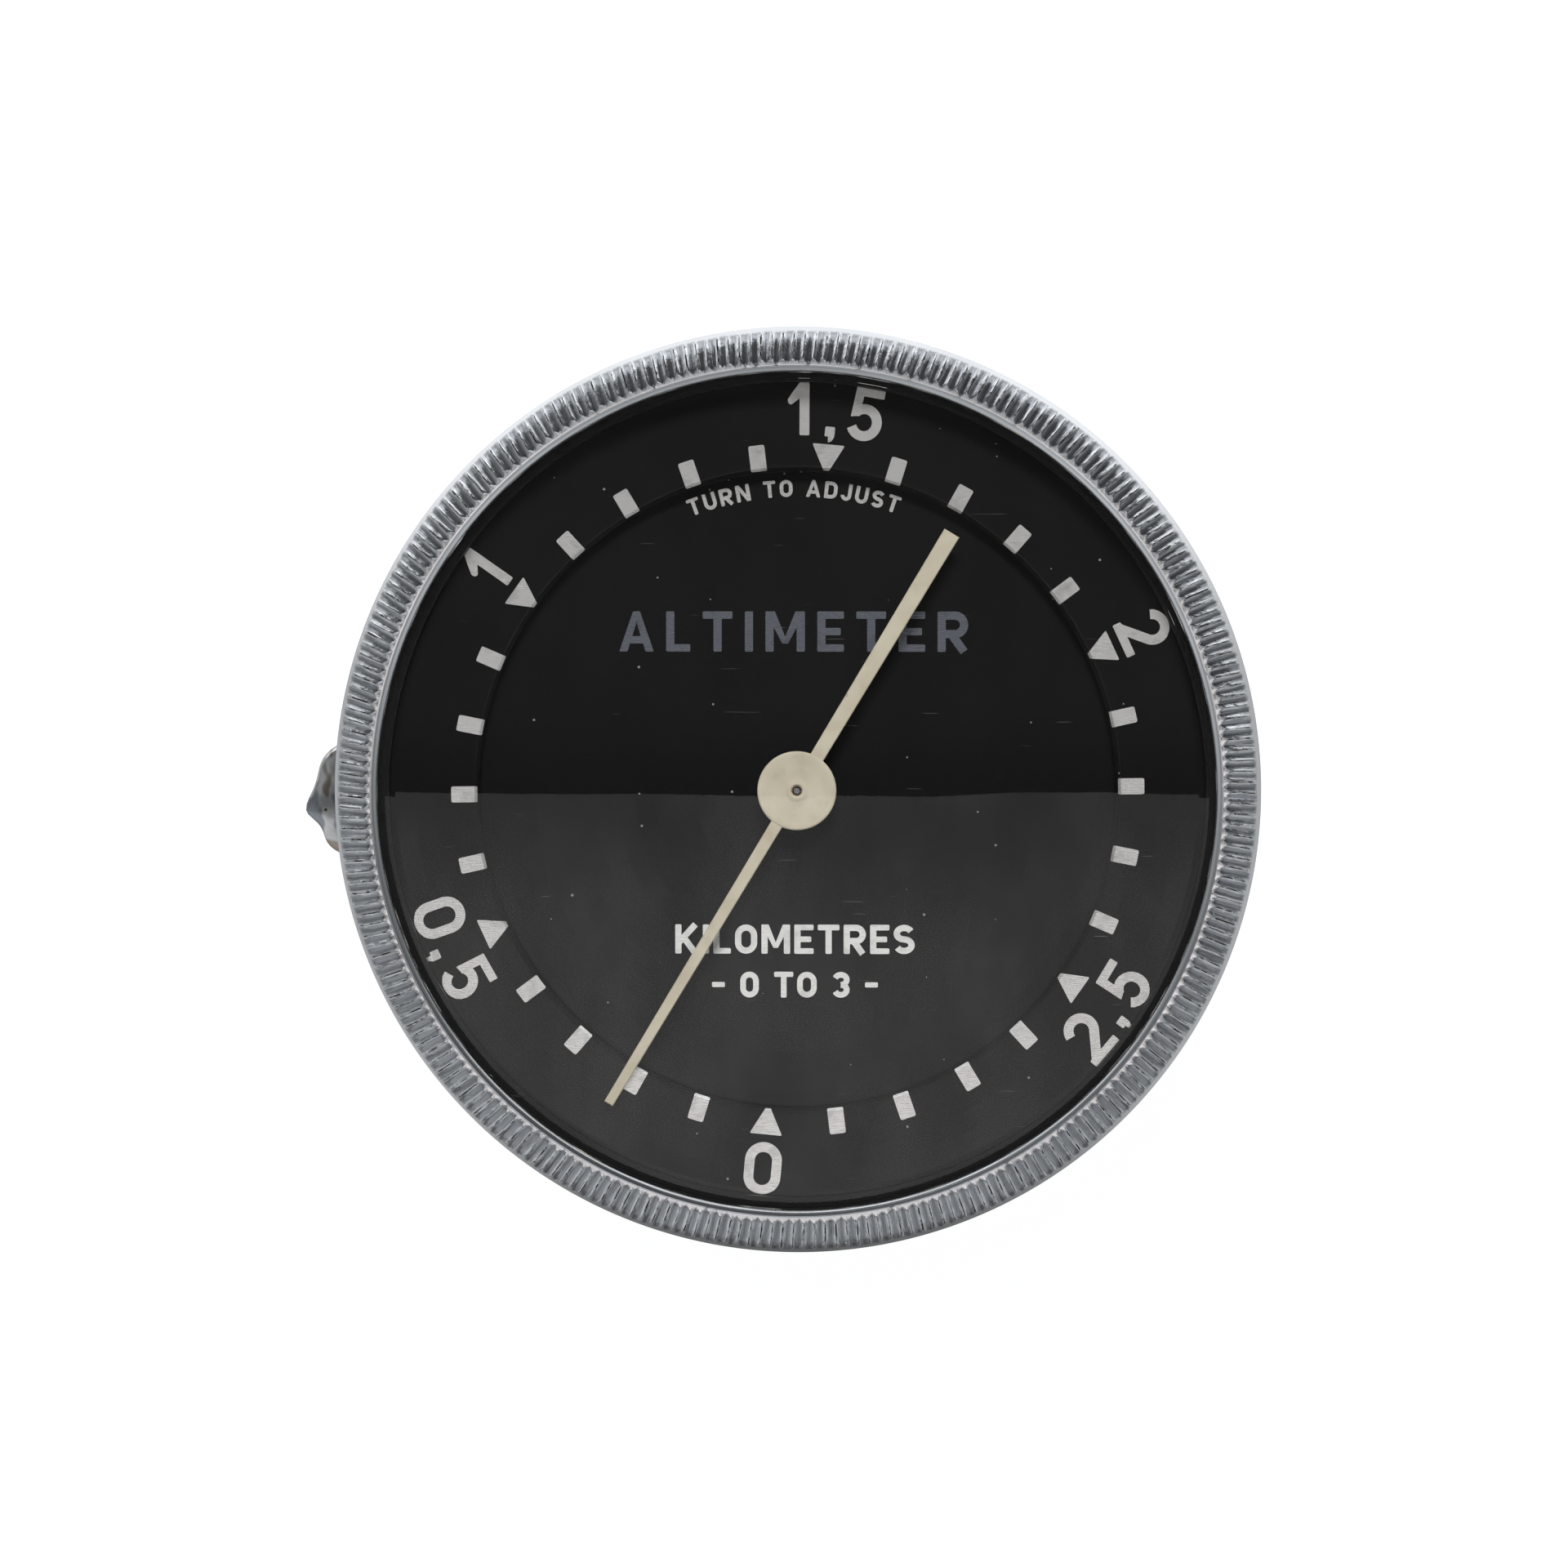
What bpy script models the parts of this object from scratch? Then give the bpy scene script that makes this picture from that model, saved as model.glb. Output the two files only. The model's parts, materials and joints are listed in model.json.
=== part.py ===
"""Pocket aneroid altimeter with a knurled turning bezel, lying face up on its back.

The origin is the centre of the case back's outer face, on the axis that the bezel and the
needle share. +Z points out of the dial, +Y to twelve o'clock and +X to three o'clock.
Driving dimensions are in millimetres, and MM turns them into Blender's metres.

The movement is drawn about the middle of its travel. Six empties stand on the joint axes,
and four of them turn, or lower, its moving pieces to the rest reading of about 0.2 km.
"""

import math

import bmesh
import bpy

MM = 0.001

# Running and seating gaps between pieces.
GAP = 0.3
FINE_GAP = 0.1

# Round pieces: steps in a turn.
LARGE_STEPS = 48
INNER_STEPS = 32
CAPSULE_STEPS = 24
SMALL_STEPS = 16

# Case.
CASE_R = 31.5
CASE_BORE_R = 30.0
CASE_FOOT_Z = 0.5
CASE_TOP_Z = 23.8
CASE_EDGE = 0.3
CASE_FOOT_EDGE = 1.0
LEDGE_R = 25.0
LEDGE_Z = (1.9, 3.4)
BACK_R = 29.6
BACK_TOP_Z = 1.6
BACK_SCREW_PITCH_R = 27.4
BACK_SCREW_HOLE_R = 0.9
BACK_SCREW_Z = (0.15, 3.2)
BACK_HEAD_R = 1.3
BACK_HEAD_UNDER_Z = 0.85
BACK_SINK_R = (2.4, 0.6)
BACK_SINK_Z = (-0.8, 1.0)
LEDGE_TAP_R = 0.7
VENT_R = 0.5
VENT_PITCH_R = 12.0
ACCESS_R = 1.2
SLOT_HALF = 0.2
SLOT_DEPTH = 0.3

# Lanyard lug at nine o'clock: a rounded tab whose nose sits a little below the middle.
LUG_Z = (10.2, 13.2)
LUG_NOSE_Y = -2.3
LUG_REACH = 6.1
LUG_HALF_UP = 6.1
LUG_HALF_DOWN = 5.1
LUG_HOLE = (-34.4, -2.3)
LUG_HOLE_R = 0.9

# Bezel and what it carries.
BEZEL_R = 34.0
BEZEL_FOOT_Z = 21.0
BEZEL_TOP_Z = 30.0
BEZEL_BORE_R = 32.0
BEZEL_FOOT_EDGE = 0.4
SHOULDER_R = 2.8
LIP_R = 30.55
LIP_EDGE = 0.5
LIP_UNDER_Z = 29.2
SEAT_R = 31.7
GASKET_Z = (28.85, 29.1)
CRYSTAL_RIM_Z = (27.3, 28.7)
CRYSTAL_RISE = 0.8
CRYSTAL_RETAINER_Z = (26.4, 27.1)
CRYSTAL_RETAINER_BORE_R = 29.95
SCALE_RING_Z = (25.2, 25.9)
SCALE_RING_BORE_R = 23.35
SCALE_RING_EDGE = 0.35
RING_RETAINER_Z = (24.3, 25.0)
RING_RETAINER_BORE_R = 30.8
WIRE_R = 0.35
WIRE_Z = 22.45

# Dial and needle.
DIAL_Z = (23.6, 24.2)
DIAL_R = 27.5
DIAL_HOLE_R = 1.2
DIAL_POST_PITCH_R = 25.0
DIAL_POST_R = 1.0
NEEDLE_Z = (26.5, 26.75)
NEEDLE_LENGTH = 26.9
NEEDLE_TAIL = 22.0
POINTER_HALF = (0.46, 0.36)
TAIL_HALF = (0.53, 0.63)
NEEDLE_HUB_R = 2.9
NEEDLE_HOLE_R = 0.38
BUSHING_Z = (24.9, 26.2)
BUSHING_R = (0.32, 0.9)
STAFF_R = 0.5
STAFF_TIP_R = 0.22
STAFF_PIVOT_R = 0.25
STAFF_TOP_Z = 26.85
STAFF_SHOULDERS_Z = (17.6, 24.6)
PIVOT_FOOT_Z = 16.2
COLLET_R = 1.2
COLLET_Z = (19.9, 20.7)

# Movement plates.
PLATE_Z = (3.7, 4.9)
PLATE_R = 28.9
BRIDGE_Z = (16.4, 17.4)
COCK_Z = (21.2, 22.0)
COCK_PILLARS = (-9.4, 23.0)
BRIDGE_PILLARS = ((-21.0, 0.0), (23.0, -6.0), (22.0, 11.0))
PILLAR_R = 1.3
STUD_R = 0.6
STUD_PROUD = 0.2
PIVOT_HOLE_R = 0.35
PLATE_SCREW_HEAD_R = 1.2
PLATE_SCREW_HEAD_Z = (5.05, 5.95)
PLATE_SCREW_FOOT_Z = 2.2
BRIDGE_LOW = (-25.0, -8.0)
BRIDGE_HIGH = (25.0, 12.5)
BRIDGE_CORNER = 5.0
COCK_HALF = 2.2
COCK_ENDS = (-9.8, 23.6)
ARM_SLOT_HALF = 0.8
ARM_SLOT_SPAN = (-1.1, 1.2)

# Aneroid capsules, with the upper one drawn at mid travel.
CAPSULE_Y = 2.5
CAPSULE_R = 15.0
CAPSULE_HALF = 1.15
CAPSULE_SKIN = 0.25
CAPSULE_HOLE_R = 1.0
CAPSULE_WAVE = 0.25
CAPSULE_RIM_HALF = (0.5, 0.3)
CAPSULE_RIM_WALL = 0.5
CAPSULE_LOWER_Z = 7.55
CAPSULE_UPPER_Z = 10.75
POST_R = 0.8
POST_TIP_R = 0.25
POST_TIP_LENGTH = 0.9
POST_FLANGE_R = 2.2
POST_FLANGE = (0.2, 0.9)
CALIBRATION_BAR_Z = (5.2, 6.1)
CALIBRATION_BAR_X = 14.0
CALIBRATION_BAR_HALF = 2.2
CALIBRATION_SCREW = (-11.0, 2.5)
CALIBRATION_SCREW_Z = (2.0, 3.3, 5.0)
CALIBRATION_SCREW_R = (0.8, 1.7)
CALIBRATION_HOLE_R = 0.95
CALIBRATION_SLOT_HALF = 0.25
CALIBRATION_SLOT_TOP_Z = 2.5

# Gear train: an 80-tooth sector drives a 10-leaf pinion.
GEAR_MODULE = 0.4
PINION_TEETH = 10
SECTOR_TEETH = 80
SECTOR_SHOWN = 13
PINION_PITCH_R = GEAR_MODULE * PINION_TEETH / 2
SECTOR_PITCH_R = GEAR_MODULE * SECTOR_TEETH / 2
GEAR_CENTRES = PINION_PITCH_R + SECTOR_PITCH_R
SECTOR_BEARING = 14.5
PINION_Z = (18.1, 19.5)
SECTOR_Z = (18.4, 19.2)
TOOTH_ROOT = 0.42
TOOTH_TIP = 0.3
SECTOR_RIM = 1.2
SECTOR_HUB_R = 1.2
SECTOR_TAIL_HALF = 0.55
SECTOR_WINDOW_R = (3.4, 14.1)
SECTOR_WINDOW_HALF = (10, 19)
ARBOR_HOLE_R = 0.5
ARBOR_R = 0.4
ARBOR_COLLAR_R = 0.7
ARBOR_PIVOT_R = 0.25
ARBOR_COLLAR_Z = (17.65, 18.25)
ARBOR_TOP_Z = (21.0, 22.2)
TAIL_R = 1.6
PIN_R = 0.2
PIN_FOOT_Z = 17.6
PIN_HOLE_R = 0.26

# Rocker: the capsule post lifts its lower arm, and its upper arm pushes the sector's pin.
ROCKER_Z = 14.6
UPPER_ARM = 3.3
ARM_HALF = 0.2
DRIVE_GAP = 0.15
LOWER_ARM_HALF = 0.3
LIFT_GAP = 0.2
ROCKER_R = 0.5
ROCKER_HUB_R = 1.1
SHAFT_OVERHANG = 0.8
LOWER_ARM_TIP = 0.8
UPPER_ARM_TIP = 0.25
LOWER_ARM_WIDTH = 1.2
UPPER_ARM_WIDTH = 1.0
BRACKETS_X = (-2.2, 20.9)
BRACKET_HALF = 1.5
BRACKET_DROP = 1.3
BRACKET_WIDTH = 0.8

# Hairspring.
SPRING_Z = (20.05, 20.55)
SPRING_R = (1.4, 5.9)
SPRING_TURNS = 5
SPRING_HALF = 0.07
SPRING_STUD_GAP = 0.15
SPRING_STUD_LENGTH = 0.9
SPRING_STUD_HALF = 0.5
SPRING_STUD_Z = (19.95, 21.05)

# Rest pose: the needle's clock bearing, and how far it lies below mid travel.
NEEDLE_BEARING = 211.0
BELOW_MIDDLE = 157.5
SECTOR_RATIO = PINION_TEETH / SECTOR_TEETH
ROCKER_RATIO = SECTOR_RATIO * TAIL_R / UPPER_ARM

SECTOR_X = GEAR_CENTRES * math.cos(math.radians(SECTOR_BEARING))
SECTOR_Y = GEAR_CENTRES * math.sin(math.radians(SECTOR_BEARING))
PIN_X = SECTOR_X + TAIL_R * math.cos(math.radians(SECTOR_BEARING))
PIN_Y = SECTOR_Y + TAIL_R * math.sin(math.radians(SECTOR_BEARING))
ROCKER_Y = PIN_Y + PIN_R + DRIVE_GAP + ARM_HALF
LOWER_ARM = ROCKER_Y - CAPSULE_Y
CAPSULE_DROP = math.radians(BELOW_MIDDLE) * ROCKER_RATIO * LOWER_ARM


# ---------------------------------------------------------------- Blender helpers

def clear_scene():
    """Remove every object, so that the script can be run again."""
    for obj in list(bpy.data.objects):
        bpy.data.objects.remove(obj)


def new_collection(name):
    """Make a collection in the scene."""
    made = bpy.data.collections.new(name)
    bpy.context.scene.collection.children.link(made)
    return made


def material(name, colour, roughness, metallic):
    """Make a Principled material."""
    made = bpy.data.materials.new(name)
    made.use_nodes = True
    shader = made.node_tree.nodes["Principled BSDF"]
    shader.inputs["Base Color"].default_value = (*colour, 1)
    shader.inputs["Roughness"].default_value = roughness
    shader.inputs["Metallic"].default_value = metallic
    return made


def joint_axis(name, at, turn=(0, 0, 0)):
    """Put an empty on a joint's axis, turned by degrees about X, Y and Z."""
    empty = bpy.data.objects.new(name, None)
    empty.empty_display_size = 5 * MM
    empty.location = [value * MM for value in at]
    empty.rotation_euler = [math.radians(angle) for angle in turn]
    parts.objects.link(empty)
    return empty


def add_part(name, data, finish, parent=None, at=(0, 0, 0)):
    """Put a mesh or curve in the parts collection with its own material."""
    obj = bpy.data.objects.new(name, data)
    obj.location = [value * MM for value in at]
    obj.parent = parent
    data.materials.append(material(name, *finish))
    parts.objects.link(obj)
    return obj


def turned(name, profile, finish, steps=INNER_STEPS, parent=None, at=(0, 0)):
    """Turn (radius, height) points about Z, listed down the outer side first.

    A profile that starts on the axis makes a solid piece, and any other closes on itself
    and makes a ring.
    """
    mesh = bpy.data.meshes.new(name)
    count = len(profile)
    edges = [(i, i + 1) for i in range(count - 1)]
    if profile[0][0] > 0:
        edges.append((count - 1, 0))
    mesh.from_pydata([(r * MM, 0, z * MM) for r, z in profile], edges, [])
    obj = add_part(name, mesh, finish, parent, (*at, 0))
    screw = obj.modifiers.new("turn", "SCREW")
    screw.steps = steps
    screw.render_steps = steps
    screw.use_merge_vertices = True
    screw.merge_threshold = 0.00001
    return obj


def outline_curve(name, outlines, thickness):
    """Make a filled 2D curve; outlines after the first are its windows."""
    curve = bpy.data.curves.new(name, "CURVE")
    curve.dimensions = "2D"
    curve.fill_mode = "BOTH"
    curve.extrude = thickness / 2 * MM
    for outline in outlines:
        spline = curve.splines.new("POLY")
        spline.points.add(len(outline) - 1)
        for point, (x, y) in zip(spline.points, outline):
            point.co = (x * MM, y * MM, 0, 1)
        spline.use_cyclic_u = True
    return curve


def as_mesh(obj):
    """Replace a curve object with its mesh, its loose caps welded on."""
    depsgraph = bpy.context.evaluated_depsgraph_get()
    mesh = bpy.data.meshes.new_from_object(obj.evaluated_get(depsgraph))
    work = bmesh.new()
    work.from_mesh(mesh)
    bmesh.ops.remove_doubles(work, verts=work.verts, dist=0.000001)
    bmesh.ops.recalc_face_normals(work, faces=work.faces)
    work.to_mesh(mesh)
    work.free()
    name = obj.name
    curve = obj.data
    made = bpy.data.objects.new(name + "_mesh", mesh)
    made.parent = obj.parent
    made.location = obj.location
    made.rotation_euler = obj.rotation_euler
    parts.objects.link(made)
    bpy.data.objects.remove(obj)
    bpy.data.curves.remove(curve)
    made.name = name
    return made


def plate(name, outlines, z_span, finish, parent=None, at=(0, 0)):
    """Cut a flat plate from outlines in X and Y."""
    low, high = z_span
    curve = outline_curve(name, outlines, high - low)
    obj = add_part(name, curve, finish, parent, (*at, (low + high) / 2))
    return as_mesh(obj)


def lever(name, outlines, thickness, x, finish, parent=None, y=0, z=0):
    """Cut a flat lever from outlines in Y and Z, centred on x."""
    curve = outline_curve(name, outlines, thickness)
    obj = add_part(name, curve, finish, parent, (x, y, z))
    obj.rotation_euler = (math.pi / 2, 0, math.pi / 2)
    return as_mesh(obj)


def cut(target, cutter):
    """Take a cutter away from a part."""
    boolean = target.modifiers.new(cutter.name, "BOOLEAN")
    boolean.operation = "DIFFERENCE"
    boolean.solver = "EXACT"
    boolean.object = cutter


def add_cutter(name, work):
    """Keep a bmesh as a cutter that is not part of the model."""
    mesh = bpy.data.meshes.new(name)
    work.to_mesh(mesh)
    work.free()
    obj = bpy.data.objects.new(name, mesh)
    obj.display_type = "WIRE"
    obj.hide_render = True
    cutters.objects.link(obj)
    return obj


def drills(name, holes):
    """Make one cutter of upright cones, each (x, y, low radius, high radius, low z, high z)."""
    work = bmesh.new()
    for x, y, low_r, high_r, low, high in holes:
        made = bmesh.ops.create_cone(
            work,
            cap_ends=True,
            segments=SMALL_STEPS,
            radius1=low_r * MM,
            radius2=high_r * MM,
            depth=(high - low) * MM,
        )
        centre = (x * MM, y * MM, (low + high) / 2 * MM)
        bmesh.ops.translate(work, verts=made["verts"], vec=centre)
    return add_cutter(name, work)


def holes_through(places, radius, z_span):
    """Straight holes at some places, a little longer than the piece they go through."""
    low, high = z_span
    return [(x, y, radius, radius, low - 1, high + 1) for x, y in places]


def slot_cutter(name, place, half, z_span):
    """Make a cutter for a screwdriver slot that runs right across a head."""
    x, y = place
    return block_cutter(name, (x - 3, y - half, z_span[0]), (x + 3, y + half, z_span[1]))


def block_cutter(name, low, high):
    """Make a box cutter between two corners."""
    work = bmesh.new()
    bmesh.ops.create_cube(work, size=1)
    size = [(b - a) * MM for a, b in zip(low, high)]
    centre = [(a + b) / 2 * MM for a, b in zip(low, high)]
    bmesh.ops.scale(work, verts=work.verts, vec=size)
    bmesh.ops.translate(work, verts=work.verts, vec=centre)
    return add_cutter(name, work)


# ---------------------------------------------------------------- outlines

def polar(radius, degrees, centre=(0, 0)):
    """A point at a radius and an angle from +X."""
    angle = math.radians(degrees)
    return (centre[0] + radius * math.cos(angle), centre[1] + radius * math.sin(angle))


def arc(radius, start, end, steps, centre=(0, 0)):
    """Points along an arc, both ends included."""
    return [polar(radius, start + (end - start) * i / steps, centre) for i in range(steps + 1)]


def circle(radius, steps=SMALL_STEPS, centre=(0, 0)):
    """A closed circle of points."""
    return [polar(radius, 360 * i / steps, centre) for i in range(steps)]


def spots(pitch_r, start, count=3):
    """Places spread evenly on a pitch circle."""
    return [polar(pitch_r, start + 360 * i / count) for i in range(count)]


def ring(inner, outer, z_span):
    """Profile of a plain ring."""
    low, high = z_span
    return [(outer, high), (outer, low), (inner, low), (inner, high)]


def rod(radius, z_span):
    """Profile of a plain round bar."""
    low, high = z_span
    return [(0, high), (radius, high), (radius, low), (0, low)]


def stepped_pillar(radius, z_span, stud_low, stud_high):
    """Profile of a pillar with a riveting stud at each end."""
    low, high = z_span
    return [
        (0, stud_high),
        (STUD_R, stud_high),
        (STUD_R, high),
        (radius, high),
        (radius, low),
        (STUD_R, low),
        (STUD_R, stud_low),
        (0, stud_low),
    ]


def arm_outline(hub_r, reach, half, bearing):
    """A hub with one straight arm, drawn about the hub's centre."""
    half_angle = math.degrees(math.asin(half / hub_r))
    points = arc(hub_r, bearing + half_angle, bearing + 360 - half_angle, SMALL_STEPS - 2)
    along = polar(reach, bearing)
    side = polar(half, bearing + 90)
    points.append((along[0] - side[0], along[1] - side[1]))
    points.append((along[0] + side[0], along[1] + side[1]))
    return points


# ---------------------------------------------------------------- finishes

ALUMINIUM = ((0.62, 0.63, 0.65), 0.35, 1.0)
CHROME = ((0.75, 0.75, 0.77), 0.12, 1.0)
BRASS = ((0.72, 0.54, 0.26), 0.3, 1.0)
STEEL = ((0.45, 0.46, 0.48), 0.3, 1.0)
BLACK = ((0.02, 0.02, 0.022), 0.25, 0.0)
CREAM = ((0.62, 0.57, 0.45), 0.45, 0.0)
GLASS = ((0.9, 0.92, 0.92), 0.03, 0.0)
RUBBER = ((0.03, 0.03, 0.03), 0.8, 0.0)


# ---------------------------------------------------------------- case

def make_case():
    """The cup of the case, its back and the screws between them."""
    groove_low = WIRE_Z - WIRE_R - FINE_GAP
    groove_high = WIRE_Z + WIRE_R + FINE_GAP
    groove_r = CASE_R - WIRE_R - GAP
    profile = [
        (CASE_R - CASE_EDGE, CASE_TOP_Z),
        (CASE_R, CASE_TOP_Z - CASE_EDGE),
        (CASE_R, groove_high),
        (groove_r, groove_high),
        (groove_r, groove_low),
        (CASE_R, groove_low),
        (CASE_R, CASE_FOOT_Z + CASE_FOOT_EDGE),
        (CASE_R - CASE_FOOT_EDGE, CASE_FOOT_Z),
        (CASE_BORE_R, CASE_FOOT_Z),
        (CASE_BORE_R, LEDGE_Z[0]),
        (LEDGE_R, LEDGE_Z[0]),
        (LEDGE_R, LEDGE_Z[1]),
        (CASE_BORE_R, LEDGE_Z[1]),
        (CASE_BORE_R, CASE_TOP_Z),
    ]
    body = turned("case_body", profile, ALUMINIUM, LARGE_STEPS)
    back = turned("case_back", rod(BACK_R, (0, BACK_TOP_Z)), ALUMINIUM, LARGE_STEPS)

    back_spots = spots(BACK_SCREW_PITCH_R, 90)
    plate_spots = spots(BACK_SCREW_PITCH_R, 30)
    tapped = holes_through(back_spots + plate_spots, LEDGE_TAP_R, LEDGE_Z)
    cut(body, drills("ledge_drills", tapped))

    back_z = (0, BACK_TOP_Z)
    clearance = holes_through(back_spots, BACK_SCREW_HOLE_R, back_z)
    vents = holes_through(spots(VENT_PITCH_R, -90), VENT_R, back_z)
    access = holes_through([CALIBRATION_SCREW], ACCESS_R, back_z)
    cut(back, drills("back_drills", clearance + vents + access))
    sinks = [(x, y, *BACK_SINK_R, *BACK_SINK_Z) for x, y in back_spots]
    cut(back, drills("back_sinks", sinks))

    for number, (x, y) in enumerate(back_spots, 1):
        make_back_screw(f"back_screw_{number}", x, y)
    return plate_spots


def make_back_screw(name, x, y):
    """A countersunk screw with its slot in the back's face."""
    low, high = BACK_SCREW_Z
    profile = [
        (0, high),
        (STUD_R, high),
        (STUD_R, BACK_HEAD_UNDER_Z),
        (BACK_HEAD_R, low),
        (0, low),
    ]
    screw = turned(name, profile, CHROME, SMALL_STEPS, at=(x, y))
    cut(screw, slot_cutter(name + "_slot", (x, y), SLOT_HALF, (low - 1, low + SLOT_DEPTH)))


def lug_reach(y):
    """How far the lug stands out of the case at a height y."""
    half = LUG_HALF_UP if y > LUG_NOSE_Y else LUG_HALF_DOWN
    t = abs(y - LUG_NOSE_Y) / half
    nose = math.hypot(t, 0.1) - 0.1
    return LUG_REACH * max(0.0, 1 - 0.3 * nose - 0.7 * t ** 8)


def make_lug():
    """The lanyard lug: its root follows the case wall, and a cord hole goes through it."""
    steps = 18
    root_r = CASE_R + GAP
    low = LUG_NOSE_Y - LUG_HALF_DOWN
    high = LUG_NOSE_Y + LUG_HALF_UP
    heights = [low + (high - low) * i / steps for i in range(steps + 1)]
    root = [(-math.sqrt(root_r ** 2 - y * y), y) for y in heights]
    nose = [(x - lug_reach(y), y) for x, y in root[1:-1]]
    lug = plate("lanyard_lug", [root + nose[::-1]], LUG_Z, CHROME)
    cut(lug, drills("lug_drill", holes_through([LUG_HOLE], LUG_HOLE_R, LUG_Z)))


def make_spring_wire():
    """The split wire in the case's groove that gives the bezel its friction."""
    curve = bpy.data.curves.new("bezel_spring_wire", "CURVE")
    curve.dimensions = "3D"
    curve.bevel_depth = WIRE_R * MM
    curve.bevel_resolution = 1
    curve.use_fill_caps = True
    points = arc(CASE_R, 96, 444, INNER_STEPS)
    spline = curve.splines.new("POLY")
    spline.points.add(len(points) - 1)
    for point, (x, y) in zip(spline.points, points):
        point.co = (x * MM, y * MM, WIRE_Z * MM, 1)
    add_part("bezel_spring_wire", curve, STEEL)


# ---------------------------------------------------------------- bezel

def make_bezel(axis):
    """The turning bezel with the crystal and the scale ring that turn with it."""
    centre = (BEZEL_R - SHOULDER_R, BEZEL_TOP_Z - SHOULDER_R)
    shoulder = arc(SHOULDER_R, 90, 0, 8, centre)
    inside = [
        (BEZEL_R, BEZEL_FOOT_Z + BEZEL_FOOT_EDGE),
        (BEZEL_R - BEZEL_FOOT_EDGE, BEZEL_FOOT_Z),
        (BEZEL_BORE_R, BEZEL_FOOT_Z),
        (BEZEL_BORE_R, LIP_UNDER_Z),
        (LIP_R, LIP_UNDER_Z),
        (LIP_R, BEZEL_TOP_Z - LIP_EDGE / 2),
        (LIP_R + LIP_EDGE, BEZEL_TOP_Z),
    ]
    turned("bezel", shoulder + inside, ALUMINIUM, LARGE_STEPS, axis)

    turned("crystal_gasket", ring(LIP_R, SEAT_R, GASKET_Z), RUBBER, parent=axis)
    turned("crystal", crystal_profile(), GLASS, LARGE_STEPS, axis)
    retainer = ring(CRYSTAL_RETAINER_BORE_R, SEAT_R, CRYSTAL_RETAINER_Z)
    turned("crystal_retainer", retainer, BLACK, parent=axis)

    low, high = SCALE_RING_Z
    scale = [
        (SEAT_R, high),
        (SEAT_R, low),
        (SCALE_RING_BORE_R, low),
        (SCALE_RING_BORE_R, high - SCALE_RING_EDGE),
        (SCALE_RING_BORE_R + SCALE_RING_EDGE, high),
    ]
    turned("scale_ring", scale, BLACK, LARGE_STEPS, axis)
    retainer = ring(RING_RETAINER_BORE_R, SEAT_R, RING_RETAINER_Z)
    turned("ring_retainer", retainer, STEEL, parent=axis)


def crystal_profile():
    """A slightly domed glass of even thickness."""
    steps = 5
    low, high = CRYSTAL_RIM_Z
    radii = [SEAT_R * i / steps for i in range(steps + 1)]
    domed = [(r, CRYSTAL_RISE * (1 - (r / SEAT_R) ** 2)) for r in radii]
    top = [(r, high + rise) for r, rise in domed]
    bottom = [(r, low + rise) for r, rise in domed]
    return top + bottom[::-1]


# ---------------------------------------------------------------- dial and needle

def make_dial():
    """The dial plate on three posts."""
    turned("dial_plate", ring(DIAL_HOLE_R, DIAL_R, DIAL_Z), BLACK, LARGE_STEPS)
    low = PLATE_Z[1] + GAP
    for number, place in enumerate(spots(DIAL_POST_PITCH_R, 90), 1):
        profile = [
            (0, DIAL_Z[0] - GAP),
            (DIAL_POST_R, DIAL_Z[0] - GAP),
            (DIAL_POST_R, low),
            (STUD_R, low),
            (STUD_R, PLATE_Z[0]),
            (0, PLATE_Z[0]),
        ]
        turned(f"dial_post_{number}", profile, BRASS, SMALL_STEPS, at=place)


def needle_outline():
    """Hub disc with a long slender pointer along +Y and a short broad tail along -Y."""
    clear = math.degrees(math.asin(POINTER_HALF[0] / NEEDLE_HUB_R))
    clear_tail = math.degrees(math.asin(TAIL_HALF[0] / NEEDLE_HUB_R))
    left = arc(NEEDLE_HUB_R, 90 + clear, 270 - clear_tail, SMALL_STEPS)
    right = arc(NEEDLE_HUB_R, 270 + clear_tail, 450 - clear, SMALL_STEPS)
    tail = [(-TAIL_HALF[1], -NEEDLE_TAIL), (TAIL_HALF[1], -NEEDLE_TAIL)]
    tip = [(POINTER_HALF[1], NEEDLE_LENGTH), (-POINTER_HALF[1], NEEDLE_LENGTH)]
    return left + tail + right + tip


def make_needle(axis):
    """The needle on its bushing, and the staff that carries it."""
    plate("needle", [needle_outline(), circle(NEEDLE_HOLE_R)], NEEDLE_Z, CREAM, axis)
    turned("needle_bushing", ring(*BUSHING_R, BUSHING_Z), BRASS, SMALL_STEPS, axis)
    shoulder_low, shoulder_high = STAFF_SHOULDERS_Z
    staff = [
        (0, STAFF_TOP_Z),
        (STAFF_TIP_R, STAFF_TOP_Z),
        (STAFF_TIP_R, shoulder_high),
        (STAFF_R, shoulder_high),
        (STAFF_R, shoulder_low),
        (STAFF_PIVOT_R, shoulder_low),
        (STAFF_PIVOT_R, PIVOT_FOOT_Z),
        (0, PIVOT_FOOT_Z),
    ]
    turned("handstaff", staff, STEEL, SMALL_STEPS, axis)
    bore_r = STAFF_R + FINE_GAP
    collet = ring(bore_r, COLLET_R, COLLET_Z)
    turned("hairspring_collet", collet, BRASS, SMALL_STEPS, axis)
    plate("pinion", [pinion_outline(), circle(bore_r)], PINION_Z, STEEL, axis)


# ---------------------------------------------------------------- gear train

def tooth(bearing, ladder, side=1):
    """One tooth about a bearing, from (radius, half angle) steps, root first."""
    rising = [polar(radius, bearing - side * half) for radius, half in ladder]
    falling = [polar(radius, bearing + side * half) for radius, half in reversed(ladder)]
    return rising + falling


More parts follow.
